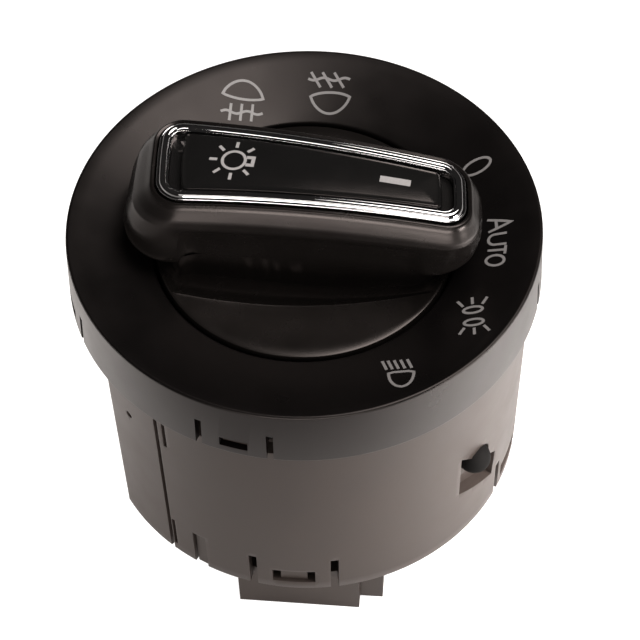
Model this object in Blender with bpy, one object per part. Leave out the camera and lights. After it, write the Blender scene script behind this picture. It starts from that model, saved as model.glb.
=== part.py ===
"""Rotary headlight switch for a car's dashboard: dished face, bar-grip knob, housing and connector.

The knob turns through four positions, pulls out in two clicks for the fog lamps and presses in a
little for release. Origin: on the knob's axis, level with the connector's open end. +Z points out of
the dashboard towards the driver, and +Y is up the face, towards the off mark.
"""
import math

import bmesh
import bpy
from mathutils import Matrix, Vector

MM = 0.001
FULL_TURN = 2 * math.pi

# Clearances
GAP = 0.3 * MM
KNOB_EDGE_GAP = 0.6 * MM

# Knob's disc and barrel, and the band of face round the disc
KNOB_RADIUS = 24.7 * MM
DISC_THICKNESS = 5.0 * MM
BARREL_SETBACK = 7.6 * MM
BARREL_RADIUS = KNOB_RADIUS - BARREL_SETBACK
BARREL_WALL = 2.1 * MM
BARREL_LENGTH = 15.5 * MM
FACE_BAND = 13.3 * MM

# Housing
HOUSING_RADIUS = KNOB_RADIUS + FACE_BAND
HOUSING_WALL = 1.8 * MM
HOUSING_DEPTH = 43.8 * MM
HOUSING_COLLAR_RISE = 5.0 * MM
DECK_THICKNESS = 2.0 * MM
FLAT_ANGLE = math.radians(-102.5)
FLAT_DEPTH = 2.4 * MM
FLAT_DISTANCE = HOUSING_RADIUS - FLAT_DEPTH
GROOVE_ANGLE = math.radians(-62.6)
GROOVE_WIDTH = 0.8 * MM
GROOVE_DEPTH = 1.2 * MM
SLIT_WIDTH = 0.7 * MM
UPPER_SLIT_ANGLE = math.radians(-60.1)
UPPER_SLIT_DROP = (14.3 * MM, 20.7 * MM)
LOWER_SLIT_ANGLE = math.radians(-61.2)
LOWER_SLIT_DROP = (44.4 * MM, 52.3 * MM)
VENT_ANGLE = math.radians(-73.0)
VENT_DROP = 20.0 * MM
VENT_RADIUS = 0.7 * MM

# Snap tongues in the housing's lower wall: centre angle and half-width of each
REAR_TONGUES = [(math.radians(centre), math.radians(half))
                for centre, half in ((-27.1, 10.7), (46.6, 8.4), (116.0, 8.4), (185.0, 8.4))]
TONGUE_SLOT_WIDTH = 1.4 * MM
TONGUE_SLOT_HEIGHT = 9.2 * MM
REAR_WINDOW_WIDTH = 7.4 * MM
REAR_WINDOW_HEIGHT = 3.6 * MM
REAR_WINDOW_RISE = 2.2 * MM
KEY_ANGLE = math.radians(-53.0)
KEY_NOTCH_WIDTH = 2.6 * MM
KEY_NOTCH_HEIGHT = 9.7 * MM

# Face and skirt
SKIRT_WALL = 1.3 * MM
SKIRT_DRAFT = 0.6 * MM
SKIRT_DEPTH = 11.05 * MM
RIM_RISE = 10.8 * MM
DISH_DEPTH = 4.0 * MM
FACE_THICKNESS = 2.0 * MM
RIM_EDGE = 0.4 * MM
LIP_THICKNESS = 1.5 * MM
SKIRT_TONGUES = [math.radians(angle) for angle in (-39.3, 61.0, 148.0, -98.0)]
SKIRT_TONGUE_HALF = math.radians(8.5)
SKIRT_SLIT_WIDTH = 1.1 * MM
SKIRT_SLIT_HEIGHT = 6.0 * MM
SKIRT_WINDOW_WIDTH = 4.6 * MM
SKIRT_WINDOW_HEIGHT = 1.9 * MM
SKIRT_WINDOW_RISE = 1.5 * MM

# Rear cover and connector
COVER_THICKNESS = 1.8 * MM
CONNECTOR_ANGLE = math.radians(-28.0)
CONNECTOR_LENGTH = 11.9 * MM
CONNECTOR_WALL = 1.6 * MM
CONNECTOR_SETBACK = 3.5 * MM
CONNECTOR_FRONT = HOUSING_RADIUS - CONNECTOR_SETBACK
CONNECTOR_BACK = -11.5 * MM
CONNECTOR_LEFT = -9.9 * MM
CONNECTOR_RIGHT = 11.7 * MM
STEP_BLOCK_WIDTH = 4.1 * MM
STEP_BLOCK_SETBACK = 2.0 * MM
STEP_BLOCK_RISE = 0.9 * MM
NECK_INSET = 1.1 * MM
SOCKET_DEPTH = 10.2 * MM
SOCKET_FRONT_TO_BACK = 14.0 * MM
COVER_HOOK_WIDTH = 4.9 * MM
COVER_TAB_HEIGHT = 4.4 * MM
SUPPORT_TUBE_SETBACK = 3.1 * MM
SUPPORT_TUBE_RADIUS = BARREL_RADIUS - SUPPORT_TUBE_SETBACK
SUPPORT_TUBE_WALL = 1.8 * MM
BOARD_MARGIN = 5.0 * MM
BOARD_RADIUS = HOUSING_RADIUS - BOARD_MARGIN
BOARD_POST_RADIUS = 1.8 * MM
BOARD_POST_SETBACK = 6.5 * MM
BOARD_POST_PLACE = BOARD_RADIUS - BOARD_POST_SETBACK
BOARD_POST_ANGLES = [math.radians(angle) for angle in (80.0, 165.0, 250.0)]

# Terminals
TERMINAL_ROWS = 2
TERMINALS_PER_ROW = 5
TERMINAL_PITCH = 3.2 * MM
TERMINAL_ROW_PITCH = 3.0 * MM
TERMINAL_ROW_INSET = 2.0 * MM
TERMINAL_THICKNESS = 0.64 * MM
TERMINAL_WIDTH = 1.2 * MM
TERMINAL_RECESS = 2.6 * MM

# Boards and lamps
BOARD_LIFT = 4.3 * MM
BOARD_THICKNESS = 1.6 * MM
LAMP_SIZE = 3.0 * MM
LAMP_HEIGHT = 1.3 * MM
LIGHT_PIPE_RADIUS = 2.0 * MM
LIGHT_PIPE_SETBACK = 2.5 * MM
LIGHT_PIPE_PLACE = BOARD_RADIUS - LIGHT_PIPE_SETBACK
LIGHT_PIPE_ANGLES = [math.radians(angle) for angle in (68.0, 165.0, 290.0)]
CHIP_SIZE = 8.0 * MM
CHIP_HEIGHT = 1.2 * MM
CHIP_PLACE = (SUPPORT_TUBE_RADIUS + BOARD_RADIUS) / 2
CHIP_ANGLE = math.radians(-15.0)
LED_BOARD_MARGIN = 3.2 * MM
LED_BOARD_RADIUS = SUPPORT_TUBE_RADIUS - SUPPORT_TUBE_WALL - LED_BOARD_MARGIN
KNOB_LAMP_RADIUS = 1.5 * MM
KNOB_LAMP_HEIGHT = 2.6 * MM

# Rotor
REST_ANGLE = math.radians(57.7)
STEP_ANGLE = math.radians(29.0)
ROTOR_WALL = 2.3 * MM
ROTOR_FLOOR = 2.0 * MM
ROTOR_HEIGHT = 18.0 * MM
FLANGE_REACH = 3.5 * MM
FLANGE_THICKNESS = 2.7 * MM
COLLAR_WALL = 2.0 * MM
ROTOR_INNER = BARREL_RADIUS + GAP
ROTOR_RADIUS = ROTOR_INNER + ROTOR_WALL
COLLAR_INNER = ROTOR_RADIUS + GAP
COLLAR_RADIUS = COLLAR_INNER + COLLAR_WALL
FLANGE_RADIUS = COLLAR_RADIUS + FLANGE_REACH
ROTOR_TOP_DROP = 0.7 * MM
KEY_WIDTH = 2.8 * MM
KEY_RISE = 1.2 * MM
WIPER_WIDTH = 5.0 * MM
WIPER_HEIGHT = 1.6 * MM

# Detent
DETENT_ANGLE = math.radians(112.0)
DETENT_SETBACK = 2.0 * MM
DETENT_PLACE = FLANGE_RADIUS - DETENT_SETBACK
DETENT_RADIUS = 1.6 * MM
DETENT_WALL = 1.2 * MM
DETENT_POCKET = 0.25 * MM
DETENT_TRAVEL = 0.6 * MM
DETENT_LENGTH = 10.7 * MM
DETENT_GUIDE_HEIGHT = 19.0 * MM

# Knob's grip and travel
PULL_TRAVEL = 7.0 * MM
PUSH_TRAVEL = 1.2 * MM
GRIP_ARCH = 5.0
OVERHANG_CLEARANCE = 3.6 * MM
TURNING_ALLOWANCE = 0.1 * MM
OVERHANG_TURN = math.radians(1.2)
RING_LEVEL = 13.05 * MM
RING_OUTLINE = (-23.25 * MM, 25.8 * MM, 8.3 * MM, 6.05 * MM, 3.8 * MM)
RING_SLANT = 0.14

# Grip outlines: drop below the frame's top, left and right end, half-width at each end, corner
GRIP_LEVELS = [[size * MM for size in level] for level in (
    (0.65, -24.0, 26.5, 9.0, 6.75, 4.5),
    (2.25, -25.3, 27.4, 9.65, 7.3, 5.2),
    (5.05, -27.2, 28.4, 10.6, 7.9, 6.3),
    (8.05, -28.6, 28.7, 11.7, 8.2, 7.2),
    (10.25, -28.9, 28.5, 12.4, 8.2, 7.8),
    (12.45, -28.8, 28.2, 12.6, 7.9, 7.5),
)]
GRIP_SLANTS = (RING_SLANT, 0.13, 0.1, 0.06, 0.03, 0.03)

# Plated frame and panel on the grip
RING_BAND = 1.95 * MM
RING_BEAD = 0.9 * MM
RING_SLOPE = 0.8 * MM
POCKET_DEPTH = 3.1 * MM
PANEL_RISE = 2.5 * MM
PANEL_PAD_RISE = 2.1 * MM
PANEL_WELL = 1.9 * MM
PAD_CORNER = 1.0 * MM
LIGHT_BLOCK_HALF_LENGTH = 15.5 * MM
LIGHT_BLOCK_HALF_WIDTH = 3.0 * MM

# Finger scoops: the line where each leaves the flat of the disc, and its depth
SCOOP_EDGE = (14.15 * MM, -0.1333, -5.27)
SCOOP_ENDS = (-21.2 * MM, 23.0 * MM)
SCOOP_DEPTH = 1.6 * MM
SCOOP_WALL = (8.0 * MM, -0.043)
SCOOP_CEILING = 7.2 * MM

# Pull shaft and carriage
SHAFT_RADIUS = 2.5 * MM
SHAFT_NECK = 0.5 * MM
SHAFT_FOOT_RADIUS = 4.0 * MM
SHAFT_FOOT = 2.0 * MM
SHAFT_COLLAR_RADIUS = 4.2 * MM
CLICK_PITCH = 3.5 * MM
CLICK_GROOVE = 0.25 * MM
CLIP_THICKNESS = 0.8 * MM
CLIP_LENGTH = 9.0 * MM
CARRIAGE_LIFT = 11.3 * MM
CARRIAGE_THICKNESS = 3.0 * MM
CARRIAGE_MARGIN = 2.5 * MM
CARRIAGE_RADIUS = SHAFT_FOOT_RADIUS + CARRIAGE_MARGIN
CARRIAGE_ARM_WIDTH = 5.0 * MM
CARRIAGE_ARM_OUTSIDE = 4.0 * MM
CARRIAGE_ARM_REACH = SUPPORT_TUBE_RADIUS + CARRIAGE_ARM_OUTSIDE

# Release latches
LATCH_ANGLES = {"right": math.radians(26.6), "left": math.radians(206.6)}
LATCH_DROP = 34.3 * MM
LATCH_RADIUS = 2.8 * MM
LATCH_PROUD = 2.0 * MM
LATCH_REACH = HOUSING_RADIUS + LATCH_PROUD
LATCH_TRAVEL = 2.0 * MM
LATCH_LENGTH = 13.5 * MM
LATCH_BORE = 1.9 * MM
LATCH_GUIDE_HALF = 4.2 * MM
LATCH_GUIDE_LENGTH = 19.0 * MM
LATCH_GUIDE_END = LATCH_REACH - LATCH_GUIDE_LENGTH
WINDOW_BACKING = 0.8 * MM
LATCH_WINDOW = [(-4.5 * MM, 4.8 * MM), (-4.5 * MM, -6.1 * MM), (5.2 * MM, -11.1 * MM), (5.8 * MM, -4.7 * MM)]

# Heights worked out from the sizes above
COVER_Z = CONNECTOR_LENGTH
COVER_TOP = COVER_Z + COVER_THICKNESS
DECK_Z = COVER_Z + HOUSING_DEPTH
RIM_Z = DECK_Z + RIM_RISE
DISC_Z = RIM_Z - DISH_DEPTH
SKIRT_Z = RIM_Z - SKIRT_DEPTH
BOARD_Z = COVER_TOP + BOARD_LIFT
BOARD_TOP = BOARD_Z + BOARD_THICKNESS
ROTOR_TOP = DECK_Z - ROTOR_TOP_DROP
ROTOR_Z = ROTOR_TOP - ROTOR_HEIGHT
COLLAR_Z = ROTOR_Z + FLANGE_THICKNESS + GAP
CARRIAGE_Z = COVER_TOP + CARRIAGE_LIFT
LATCH_Z = RIM_Z - LATCH_DROP

# Radii worked out from the sizes above
HOUSING_INNER = HOUSING_RADIUS - HOUSING_WALL
SKIRT_INNER = HOUSING_RADIUS + GAP
SKIRT_RADIUS = SKIRT_INNER + SKIRT_WALL
FACE_RADIUS = SKIRT_RADIUS - SKIRT_DRAFT
FACE_HOLE = KNOB_RADIUS + KNOB_EDGE_GAP
COVER_RADIUS = HOUSING_INNER - GAP
FLAT_INNER = FLAT_DISTANCE - HOUSING_WALL

FINISHES = {
    "face_black": ((0.012, 0.012, 0.012), 0.42, 0.0),
    "housing_black": ((0.03, 0.028, 0.027), 0.5, 0.0),
    "knob_black": ((0.016, 0.015, 0.015), 0.45, 0.0),
    "panel_black": ((0.006, 0.006, 0.006), 0.2, 0.0),
    "chrome": ((0.8, 0.8, 0.82), 0.06, 1.0),
    "light_guide": ((0.85, 0.87, 0.88), 0.1, 0.0),
    "board_green": ((0.02, 0.12, 0.05), 0.5, 0.0),
    "lamp_white": ((0.85, 0.83, 0.7), 0.3, 0.0),
    "chip_black": ((0.02, 0.02, 0.02), 0.6, 0.0),
    "terminal_tin": ((0.65, 0.66, 0.67), 0.3, 1.0),
    "contact_brass": ((0.75, 0.55, 0.25), 0.3, 1.0),
    "spring_steel": ((0.55, 0.55, 0.56), 0.3, 1.0),
    "slide_plastic": ((0.7, 0.7, 0.68), 0.5, 0.0),
}


# Shapes are pairs of a point list and a face list

def turned(profile, segments=72):
    """Solid of revolution about Z from a closed outline of (radius, height) points."""
    points, rows = [], []
    for radius, height in profile:
        count = segments if radius > 0 else 1
        rows.append(list(range(len(points), len(points) + count)))
        points.extend(polar(radius, FULL_TURN * step / segments, height) for step in range(count))
    faces = []
    for row, after in zip(rows, rows[1:] + rows[:1]):
        if len(row) == len(after) == 1:
            continue
        wide, tip = (row, after) if len(row) > 1 else (after, row)
        if len(tip) > 1:
            faces.extend([row[step - 1], row[step], after[step], after[step - 1]] for step in range(segments))
        elif abs(points[tip[0]][2] - points[wide[0]][2]) < 1e-9:
            faces.append(wide)
        else:
            faces.extend([wide[step - 1], wide[step], tip[0]] for step in range(segments))
    return points, faces


def lofted(loops, closed=False):
    """Skin through loops of equally many points, capped at both ends unless it closes on itself."""
    count = len(loops[0])
    points = [point for loop in loops for point in loop]
    pairs = list(range(len(loops) - 1)) + ([len(loops) - 1] if closed else [])
    faces = []
    for row in pairs:
        start, after = row * count, ((row + 1) % len(loops)) * count
        for step in range(count):
            ahead = (step + 1) % count
            faces.append([start + step, start + ahead, after + ahead, after + step])
    if not closed:
        faces.append(list(range(count)))
        faces.append(list(range(len(points) - count, len(points))))
    return points, faces


def prism(outline, low, high):
    """Upright prism over an outline of (x, y) points."""
    return lofted([[(x, y, low) for x, y in outline], [(x, y, high) for x, y in outline]])


def box(x_range, y_range, z_range):
    """Box between two values on each axis."""
    (x0, x1), (y0, y1) = x_range, y_range
    return prism([(x0, y0), (x1, y0), (x1, y1), (x0, y1)], *z_range)


def radial_box(angle, near, far, width, low, high):
    """Box that points outwards at an angle, between two radii."""
    return rotated(box((near, far), (-width / 2, width / 2), (low, high)), angle)


def post(radius, low, high, segments=24):
    """Upright round post on the axis."""
    return turned([(0, high), (radius, high), (radius, low), (0, low)], segments)


def rotated(shape, angle):
    """The shape turned about Z."""
    turn = Matrix.Rotation(angle, 3, "Z")
    return [tuple(turn @ Vector(point)) for point in shape[0]], shape[1]


def moved(shape, offset):
    """The shape shifted by a vector."""
    shift = Vector(offset)
    return [tuple(Vector(point) + shift) for point in shape[0]], shape[1]


def laid_along_x(shape):
    """The shape with its Z axis laid along X."""
    return [(z, y, -x) for x, y, z in shape[0]], shape[1]


def polar(radius, angle, height=0.0):
    """Point at a radius and an angle."""
    return radius * math.cos(angle), radius * math.sin(angle), height


def grouped(shapes):
    """Separate shapes in one list of points and faces, for a cutter with several bodies."""
    points, faces = [], []
    for shape_points, shape_faces in shapes:
        base = len(points)
        points.extend(shape_points)
        faces.extend([[index + base for index in face] for face in shape_faces])
    return points, faces


def coil(radius, wire, low, high, turns, sides=4, steps=9):
    """Coil spring about Z."""
    count = turns * steps
    loops = []
    for index in range(count + 1):
        angle = FULL_TURN * index / steps
        height = low + wire + (high - low - 2 * wire) * index / count
        loop = []
        for side in range(sides):
            around = FULL_TURN * side / sides
            place = radius - wire + wire * math.cos(around)
            loop.append(polar(place, angle, height + wire * math.sin(around)))
        loops.append(loop)
    return lofted(loops)


# Blender objects

def make_material(name):
    """Principled material with the piece's colour, roughness and metallic value."""
    colour, roughness, metallic = FINISHES[name]
    material = bpy.data.materials.new(name)
    material.use_nodes = True
    shader = material.node_tree.nodes["Principled BSDF"]
    shader.inputs["Base Color"].default_value = (*colour, 1.0)
    shader.inputs["Roughness"].default_value = roughness
    shader.inputs["Metallic"].default_value = metallic
    material.diffuse_color = (*colour, 1.0)
    return material


def make_object(name, shape, finish=None, frame=None):
    """Object with outward faces, parented to its frame."""
    mesh = bpy.data.meshes.new(name)
    mesh.from_pydata(shape[0], [], shape[1])
    work = bmesh.new()
    work.from_mesh(mesh)
    unused = [point for point in work.verts if not point.link_faces]
    bmesh.ops.delete(work, geom=unused, context="VERTS")
    bmesh.ops.recalc_face_normals(work, faces=work.faces)
    work.to_mesh(mesh)
    work.free()
    if finish:
        mesh.materials.append(MATERIALS[finish])
    mesh.shade_smooth()
    mesh.set_sharp_from_angle(angle=math.radians(35))
    piece = bpy.data.objects.new(name, mesh)
    bpy.context.scene.collection.objects.link(piece)
    piece.parent = frame
    return piece


def apply_tool(piece, shape, operation, frame=None):
    """Boolean of the piece with a hidden shape in the piece's frame, or in the one that is given."""
    tool_name = f"{piece.name}_{operation.lower()}_{len(piece.modifiers)}"
    tool = make_object(tool_name, shape, None, frame or piece.parent)
    tool.hide_render = True
    tool.display_type = "WIRE"
    modifier = piece.modifiers.new(operation.title(), "BOOLEAN")
    modifier.operation = operation
    modifier.object = tool
    modifier.solver = "EXACT"


def cut(piece, shape, frame=None):
    """Takes the shape out of the piece."""
    apply_tool(piece, shape, "DIFFERENCE", frame)


def fuse(piece, shape, frame=None):
    """Adds the shape to the piece."""
    apply_tool(piece, shape, "UNION", frame)


def make_frame(name, angle):
    """Empty on the knob's axis, turned about Z."""
    frame = bpy.data.objects.new(name, None)
    bpy.context.scene.collection.objects.link(frame)
    frame.rotation_euler = (0, 0, angle)
    return frame


# Fixed pieces

def dish_height(radius):
    """Height of the dished face at a radius."""
    rise = (radius - FACE_HOLE - RIM_EDGE) / (FACE_RADIUS - FACE_HOLE - 2 * RIM_EDGE)
    return DISC_Z + DISH_DEPTH * rise


def make_front_bezel():
    """Dished face, lip round the knob, and skirt with slit snap tongues."""
    lip = FACE_HOLE + LIP_THICKNESS
    profile = [(FACE_RADIUS - RIM_EDGE, RIM_Z), (FACE_RADIUS, RIM_Z - RIM_EDGE), (SKIRT_RADIUS, SKIRT_Z),
               (SKIRT_INNER, SKIRT_Z), (SKIRT_INNER, dish_height(SKIRT_INNER) - FACE_THICKNESS),
               (lip, dish_height(lip) - FACE_THICKNESS), (lip, DECK_Z + GAP), (FACE_HOLE, DECK_Z + GAP),
               (FACE_HOLE, DISC_Z - RIM_EDGE), (FACE_HOLE + RIM_EDGE, DISC_Z)]
    bezel = make_object("front_bezel", turned(profile), "face_black")
    near, far = SKIRT_INNER - GAP, SKIRT_RADIUS + GAP
    cuts = []
    for centre in SKIRT_TONGUES:
        for side in (-1, 1):
            cuts.append(radial_box(centre + side * SKIRT_TONGUE_HALF, near, far, SKIRT_SLIT_WIDTH,
                                   SKIRT_Z - GAP, SKIRT_Z + SKIRT_SLIT_HEIGHT))
        window = SKIRT_Z + SKIRT_WINDOW_RISE
        cuts.append(radial_box(centre, near, far, SKIRT_WINDOW_WIDTH, window, window + SKIRT_WINDOW_HEIGHT))
    cut(bezel, grouped(cuts))


def make_legend_light_guide():
    """Clear ring behind the face, with a light pipe down to each lamp."""
    inner = FACE_HOLE + LIP_THICKNESS + GAP
    outer = HOUSING_INNER - GAP
    drop = FACE_THICKNESS + GAP
    profile = [(inner, dish_height(inner) - drop), (outer, dish_height(outer) - drop),
               (outer, DECK_Z + GAP), (inner, DECK_Z + GAP)]
    guide = make_object("legend_light_guide", turned(profile), "light_guide")
    low = BOARD_TOP + LAMP_HEIGHT + 2 * GAP
    for angle in LIGHT_PIPE_ANGLES:
        pipe = moved(post(LIGHT_PIPE_RADIUS, low, DECK_Z + 2 * GAP), polar(LIGHT_PIPE_PLACE, angle))
        fuse(guide, pipe)


def make_main_housing(latch_frames):
    """Round wall with a flat, deck, bearing collar, snap openings and latch guides."""
    top = DECK_Z + HOUSING_COLLAR_RISE
    deck_under = DECK_Z - DECK_THICKNESS
    profile = [(HOUSING_RADIUS, top), (HOUSING_RADIUS, COVER_Z), (HOUSING_INNER, COVER_Z),
               (HOUSING_INNER, deck_under), (COLLAR_RADIUS, deck_under), (COLLAR_RADIUS, COLLAR_Z),
               (COLLAR_INNER, COLLAR_Z), (COLLAR_INNER, DECK_Z), (HOUSING_INNER, DECK_Z), (HOUSING_INNER, top)]
    housing = make_object("main_housing", turned(profile), "housing_black")

    middle_radius = HOUSING_RADIUS - HOUSING_WALL / 2
    half_angle = math.acos(FLAT_INNER / middle_radius)
    steps = 12
    segment = [polar(middle_radius, half_angle * (2 * step / steps - 1))[:2] for step in range(steps + 1)]
    backing = prism(segment, COVER_Z, DECK_Z - DECK_THICKNESS / 2)
    fuse(housing, rotated(backing, FLAT_ANGLE))
    beyond = box((FLAT_DISTANCE, HOUSING_RADIUS + GAP), (-HOUSING_RADIUS, HOUSING_RADIUS),
                 (COVER_Z - GAP, SKIRT_Z - GAP))
    cut(housing, rotated(beyond, FLAT_ANGLE))

    guide = LATCH_GUIDE_HALF
    window_y, window_z = zip(*LATCH_WINDOW)
    for frame in latch_frames.values():
        fuse(housing, box((LATCH_GUIDE_END, middle_radius), (-guide, guide),
                          (LATCH_Z - guide, LATCH_Z + guide)), frame)
        backing_y = (min(window_y) - WINDOW_BACKING, max(window_y) + WINDOW_BACKING)
        backing_z = (LATCH_Z + min(window_z) - WINDOW_BACKING, LATCH_Z + max(window_z) + WINDOW_BACKING)
        fuse(housing, box((HOUSING_INNER - HOUSING_WALL, HOUSING_INNER + GAP), backing_y, backing_z), frame)
        window = [(HOUSING_INNER - GAP, y, LATCH_Z + z) for y, z in LATCH_WINDOW]
        outside = [(HOUSING_RADIUS + GAP, y, LATCH_Z + z) for y, z in LATCH_WINDOW]
        cut(housing, lofted([window, outside]), frame)
        bore = laid_along_x(post(LATCH_RADIUS + GAP, LATCH_GUIDE_END + HOUSING_WALL, HOUSING_RADIUS + GAP))
        cut(housing, moved(bore, (0, 0, LATCH_Z)), frame)

    near, far = HOUSING_INNER - GAP, HOUSING_RADIUS + GAP
    cuts = []
    for centre, half_width in REAR_TONGUES:
        for side in (-1, 1):
            cuts.append(radial_box(centre + side * half_width, near, far, TONGUE_SLOT_WIDTH,
                                   COVER_Z - GAP, COVER_Z + TONGUE_SLOT_HEIGHT))
        sill = COVER_Z + REAR_WINDOW_RISE
        cuts.append(radial_box(centre, near, far, REAR_WINDOW_WIDTH, sill, sill + REAR_WINDOW_HEIGHT))
    cuts.append(radial_box(KEY_ANGLE, near, far, KEY_NOTCH_WIDTH, COVER_Z - GAP, COVER_Z + KEY_NOTCH_HEIGHT))
    slits = ((UPPER_SLIT_ANGLE, UPPER_SLIT_DROP), (LOWER_SLIT_ANGLE, LOWER_SLIT_DROP))
    for angle, (top_drop, low_drop) in slits:
        cuts.append(radial_box(angle, near, far, SLIT_WIDTH, RIM_Z - low_drop, RIM_Z - top_drop))
    cuts.append(radial_box(GROOVE_ANGLE, HOUSING_RADIUS - GROOVE_DEPTH, far, GROOVE_WIDTH,
                           COVER_Z - GAP, SKIRT_Z - GAP))
    for angle in LIGHT_PIPE_ANGLES:
        hole = post(LIGHT_PIPE_RADIUS + GAP, deck_under - GAP, DECK_Z + GAP)
        cuts.append(moved(hole, polar(LIGHT_PIPE_PLACE, angle)))
    vent = laid_along_x(post(VENT_RADIUS, near, far, 16))
    cuts.append(rotated(moved(vent, (0, 0, RIM_Z - VENT_DROP)), VENT_ANGLE))
    cut(housing, grouped(cuts))

    hooks = []
    hook_z = SKIRT_Z + SKIRT_WINDOW_RISE + GAP
    for centre in SKIRT_TONGUES:
        hooks.append(radial_box(centre, HOUSING_RADIUS - HOUSING_WALL / 2, SKIRT_RADIUS - 2 * GAP,
                                SKIRT_WINDOW_WIDTH - 2 * GAP, hook_z, hook_z + SKIRT_WINDOW_HEIGHT - 2 * GAP))
    fuse(housing, grouped(hooks))


def make_rear_cover(cover_frame, detent_frame):
    """Back plate with snap hooks, support tube, detent guide and connector shroud."""
    tube_inner = SUPPORT_TUBE_RADIUS - SUPPORT_TUBE_WALL
    tube_top = ROTOR_Z - GAP
    profile = [(0, COVER_TOP), (tube_inner, COVER_TOP), (tube_inner, tube_top),
               (SUPPORT_TUBE_RADIUS, tube_top), (SUPPORT_TUBE_RADIUS, COVER_TOP),
               (COVER_RADIUS, COVER_TOP), (COVER_RADIUS, COVER_Z), (0, COVER_Z)]
    cover = make_object("rear_cover", turned(profile), "housing_black", cover_frame)
    step_side = CONNECTOR_RIGHT + STEP_BLOCK_WIDTH
    fuse(cover, box((CONNECTOR_BACK, CONNECTOR_FRONT), (CONNECTOR_LEFT, CONNECTOR_RIGHT), (0, COVER_Z - GAP)))
    fuse(cover, box((CONNECTOR_BACK + GAP, CONNECTOR_FRONT - STEP_BLOCK_SETBACK),
                    (CONNECTOR_RIGHT - CONNECTOR_WALL / 2, step_side), (STEP_BLOCK_RISE, COVER_Z - 2 * GAP)))
    fuse(cover, box((CONNECTOR_BACK + NECK_INSET, CONNECTOR_FRONT - STEP_BLOCK_SETBACK - NECK_INSET),
                    (CONNECTOR_LEFT + NECK_INSET, step_side - NECK_INSET),
                    (COVER_Z - 3 * GAP, COVER_Z + COVER_THICKNESS * 0.6)))
    guide_top = COVER_TOP + DETENT_GUIDE_HEIGHT
    guide = post(DETENT_RADIUS + GAP + DETENT_WALL, COVER_Z + COVER_THICKNESS * 0.5, guide_top)
    fuse(cover, moved(guide, (DETENT_PLACE, 0, 0)), detent_frame)

    posts = [moved(post(BOARD_POST_RADIUS, COVER_Z + COVER_THICKNESS * 0.5, BOARD_Z - GAP, 16),
                   polar(BOARD_POST_PLACE, angle)) for angle in BOARD_POST_ANGLES]
    tab_near = COVER_RADIUS - HOUSING_WALL
    tabs = [radial_box(centre, tab_near, COVER_RADIUS - GAP / 2, COVER_HOOK_WIDTH,
                       COVER_Z + COVER_THICKNESS * 0.5, COVER_TOP + COVER_TAB_HEIGHT - GAP)
            for centre, _ in REAR_TONGUES]
    key = radial_box(KEY_ANGLE, tab_near, HOUSING_RADIUS - 2 * GAP, KEY_NOTCH_WIDTH - 2 * GAP,
                     COVER_Z - GAP / 2, COVER_Z + KEY_NOTCH_HEIGHT - 2 * GAP)
    fuse(cover, grouped(posts + tabs + [key]), MAIN_FRAME)
    catch_z = COVER_Z + REAR_WINDOW_RISE + GAP
    catches = [radial_box(centre, tab_near + HOUSING_WALL / 2, HOUSING_RADIUS - 2 * GAP,
                          COVER_HOOK_WIDTH - GAP, catch_z, catch_z + REAR_WINDOW_HEIGHT - 3 * GAP)
               for centre, _ in REAR_TONGUES]
    fuse(cover, grouped(catches), MAIN_FRAME)

    slot_low = CARRIAGE_Z - PUSH_TRAVEL - 2 * GAP
    slot_high = CARRIAGE_Z + CARRIAGE_THICKNESS + PULL_TRAVEL + 2 * GAP
    cut(cover, box((-SUPPORT_TUBE_RADIUS - GAP, SUPPORT_TUBE_RADIUS + GAP),
                   (-CARRIAGE_ARM_WIDTH / 2 - GAP, CARRIAGE_ARM_WIDTH / 2 + GAP), (slot_low, slot_high)))
    bore_z = ROTOR_Z - GAP - DETENT_LENGTH - DETENT_TRAVEL - GAP
    bore = post(DETENT_RADIUS + GAP, bore_z, guide_top + GAP)
    cut(cover, moved(bore, (DETENT_PLACE, 0, 0)), detent_frame)
    flat = box((FLAT_INNER - GAP, HOUSING_RADIUS), (-HOUSING_RADIUS, HOUSING_RADIUS),
               (COVER_Z - GAP, COVER_TOP + GAP))
    cut(cover, rotated(flat, FLAT_ANGLE), MAIN_FRAME)

    socket_front = CONNECTOR_FRONT - CONNECTOR_WALL
    cut(cover, box((socket_front - SOCKET_FRONT_TO_BACK, socket_front),
                   (CONNECTOR_LEFT + CONNECTOR_WALL, CONNECTOR_RIGHT - CONNECTOR_WALL), (-GAP, SOCKET_DEPTH)))
    row_reach = (TERMINALS_PER_ROW - 1) * TERMINAL_PITCH / 2 + TERMINAL_WIDTH / 2 + GAP
    slots = [box((x - TERMINAL_THICKNESS / 2 - GAP, x + TERMINAL_THICKNESS / 2 + GAP),
                 (socket_middle() - row_reach, socket_middle() + row_reach),
                 (SOCKET_DEPTH - GAP, COVER_TOP + GAP)) for x in terminal_rows()]
    cut(cover, grouped(slots))


def socket_middle():
    """Middle of the connector socket across its width."""
    return (CONNECTOR_LEFT + CONNECTOR_RIGHT) / 2


def terminal_rows():
    """Distance of each terminal row from the axis, along the connector's direction."""
    first = CONNECTOR_FRONT - CONNECTOR_WALL - SOCKET_FRONT_TO_BACK + TERMINAL_ROW_INSET
    return [first + row * TERMINAL_ROW_PITCH for row in range(TERMINAL_ROWS)]


def make_terminals(cover_frame):
    """Flat contacts from under the board down into the connector socket."""
    number = 0
    for x in terminal_rows():
        for column in range(TERMINALS_PER_ROW):
            number += 1
            y = socket_middle() + (column - (TERMINALS_PER_ROW - 1) / 2) * TERMINAL_PITCH
            blade = box((x - TERMINAL_THICKNESS / 2, x + TERMINAL_THICKNESS / 2),
                        (y - TERMINAL_WIDTH / 2, y + TERMINAL_WIDTH / 2), (TERMINAL_RECESS, BOARD_Z - GAP))
            make_object(f"terminal_{number:02d}", blade, "terminal_tin", cover_frame)


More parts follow.
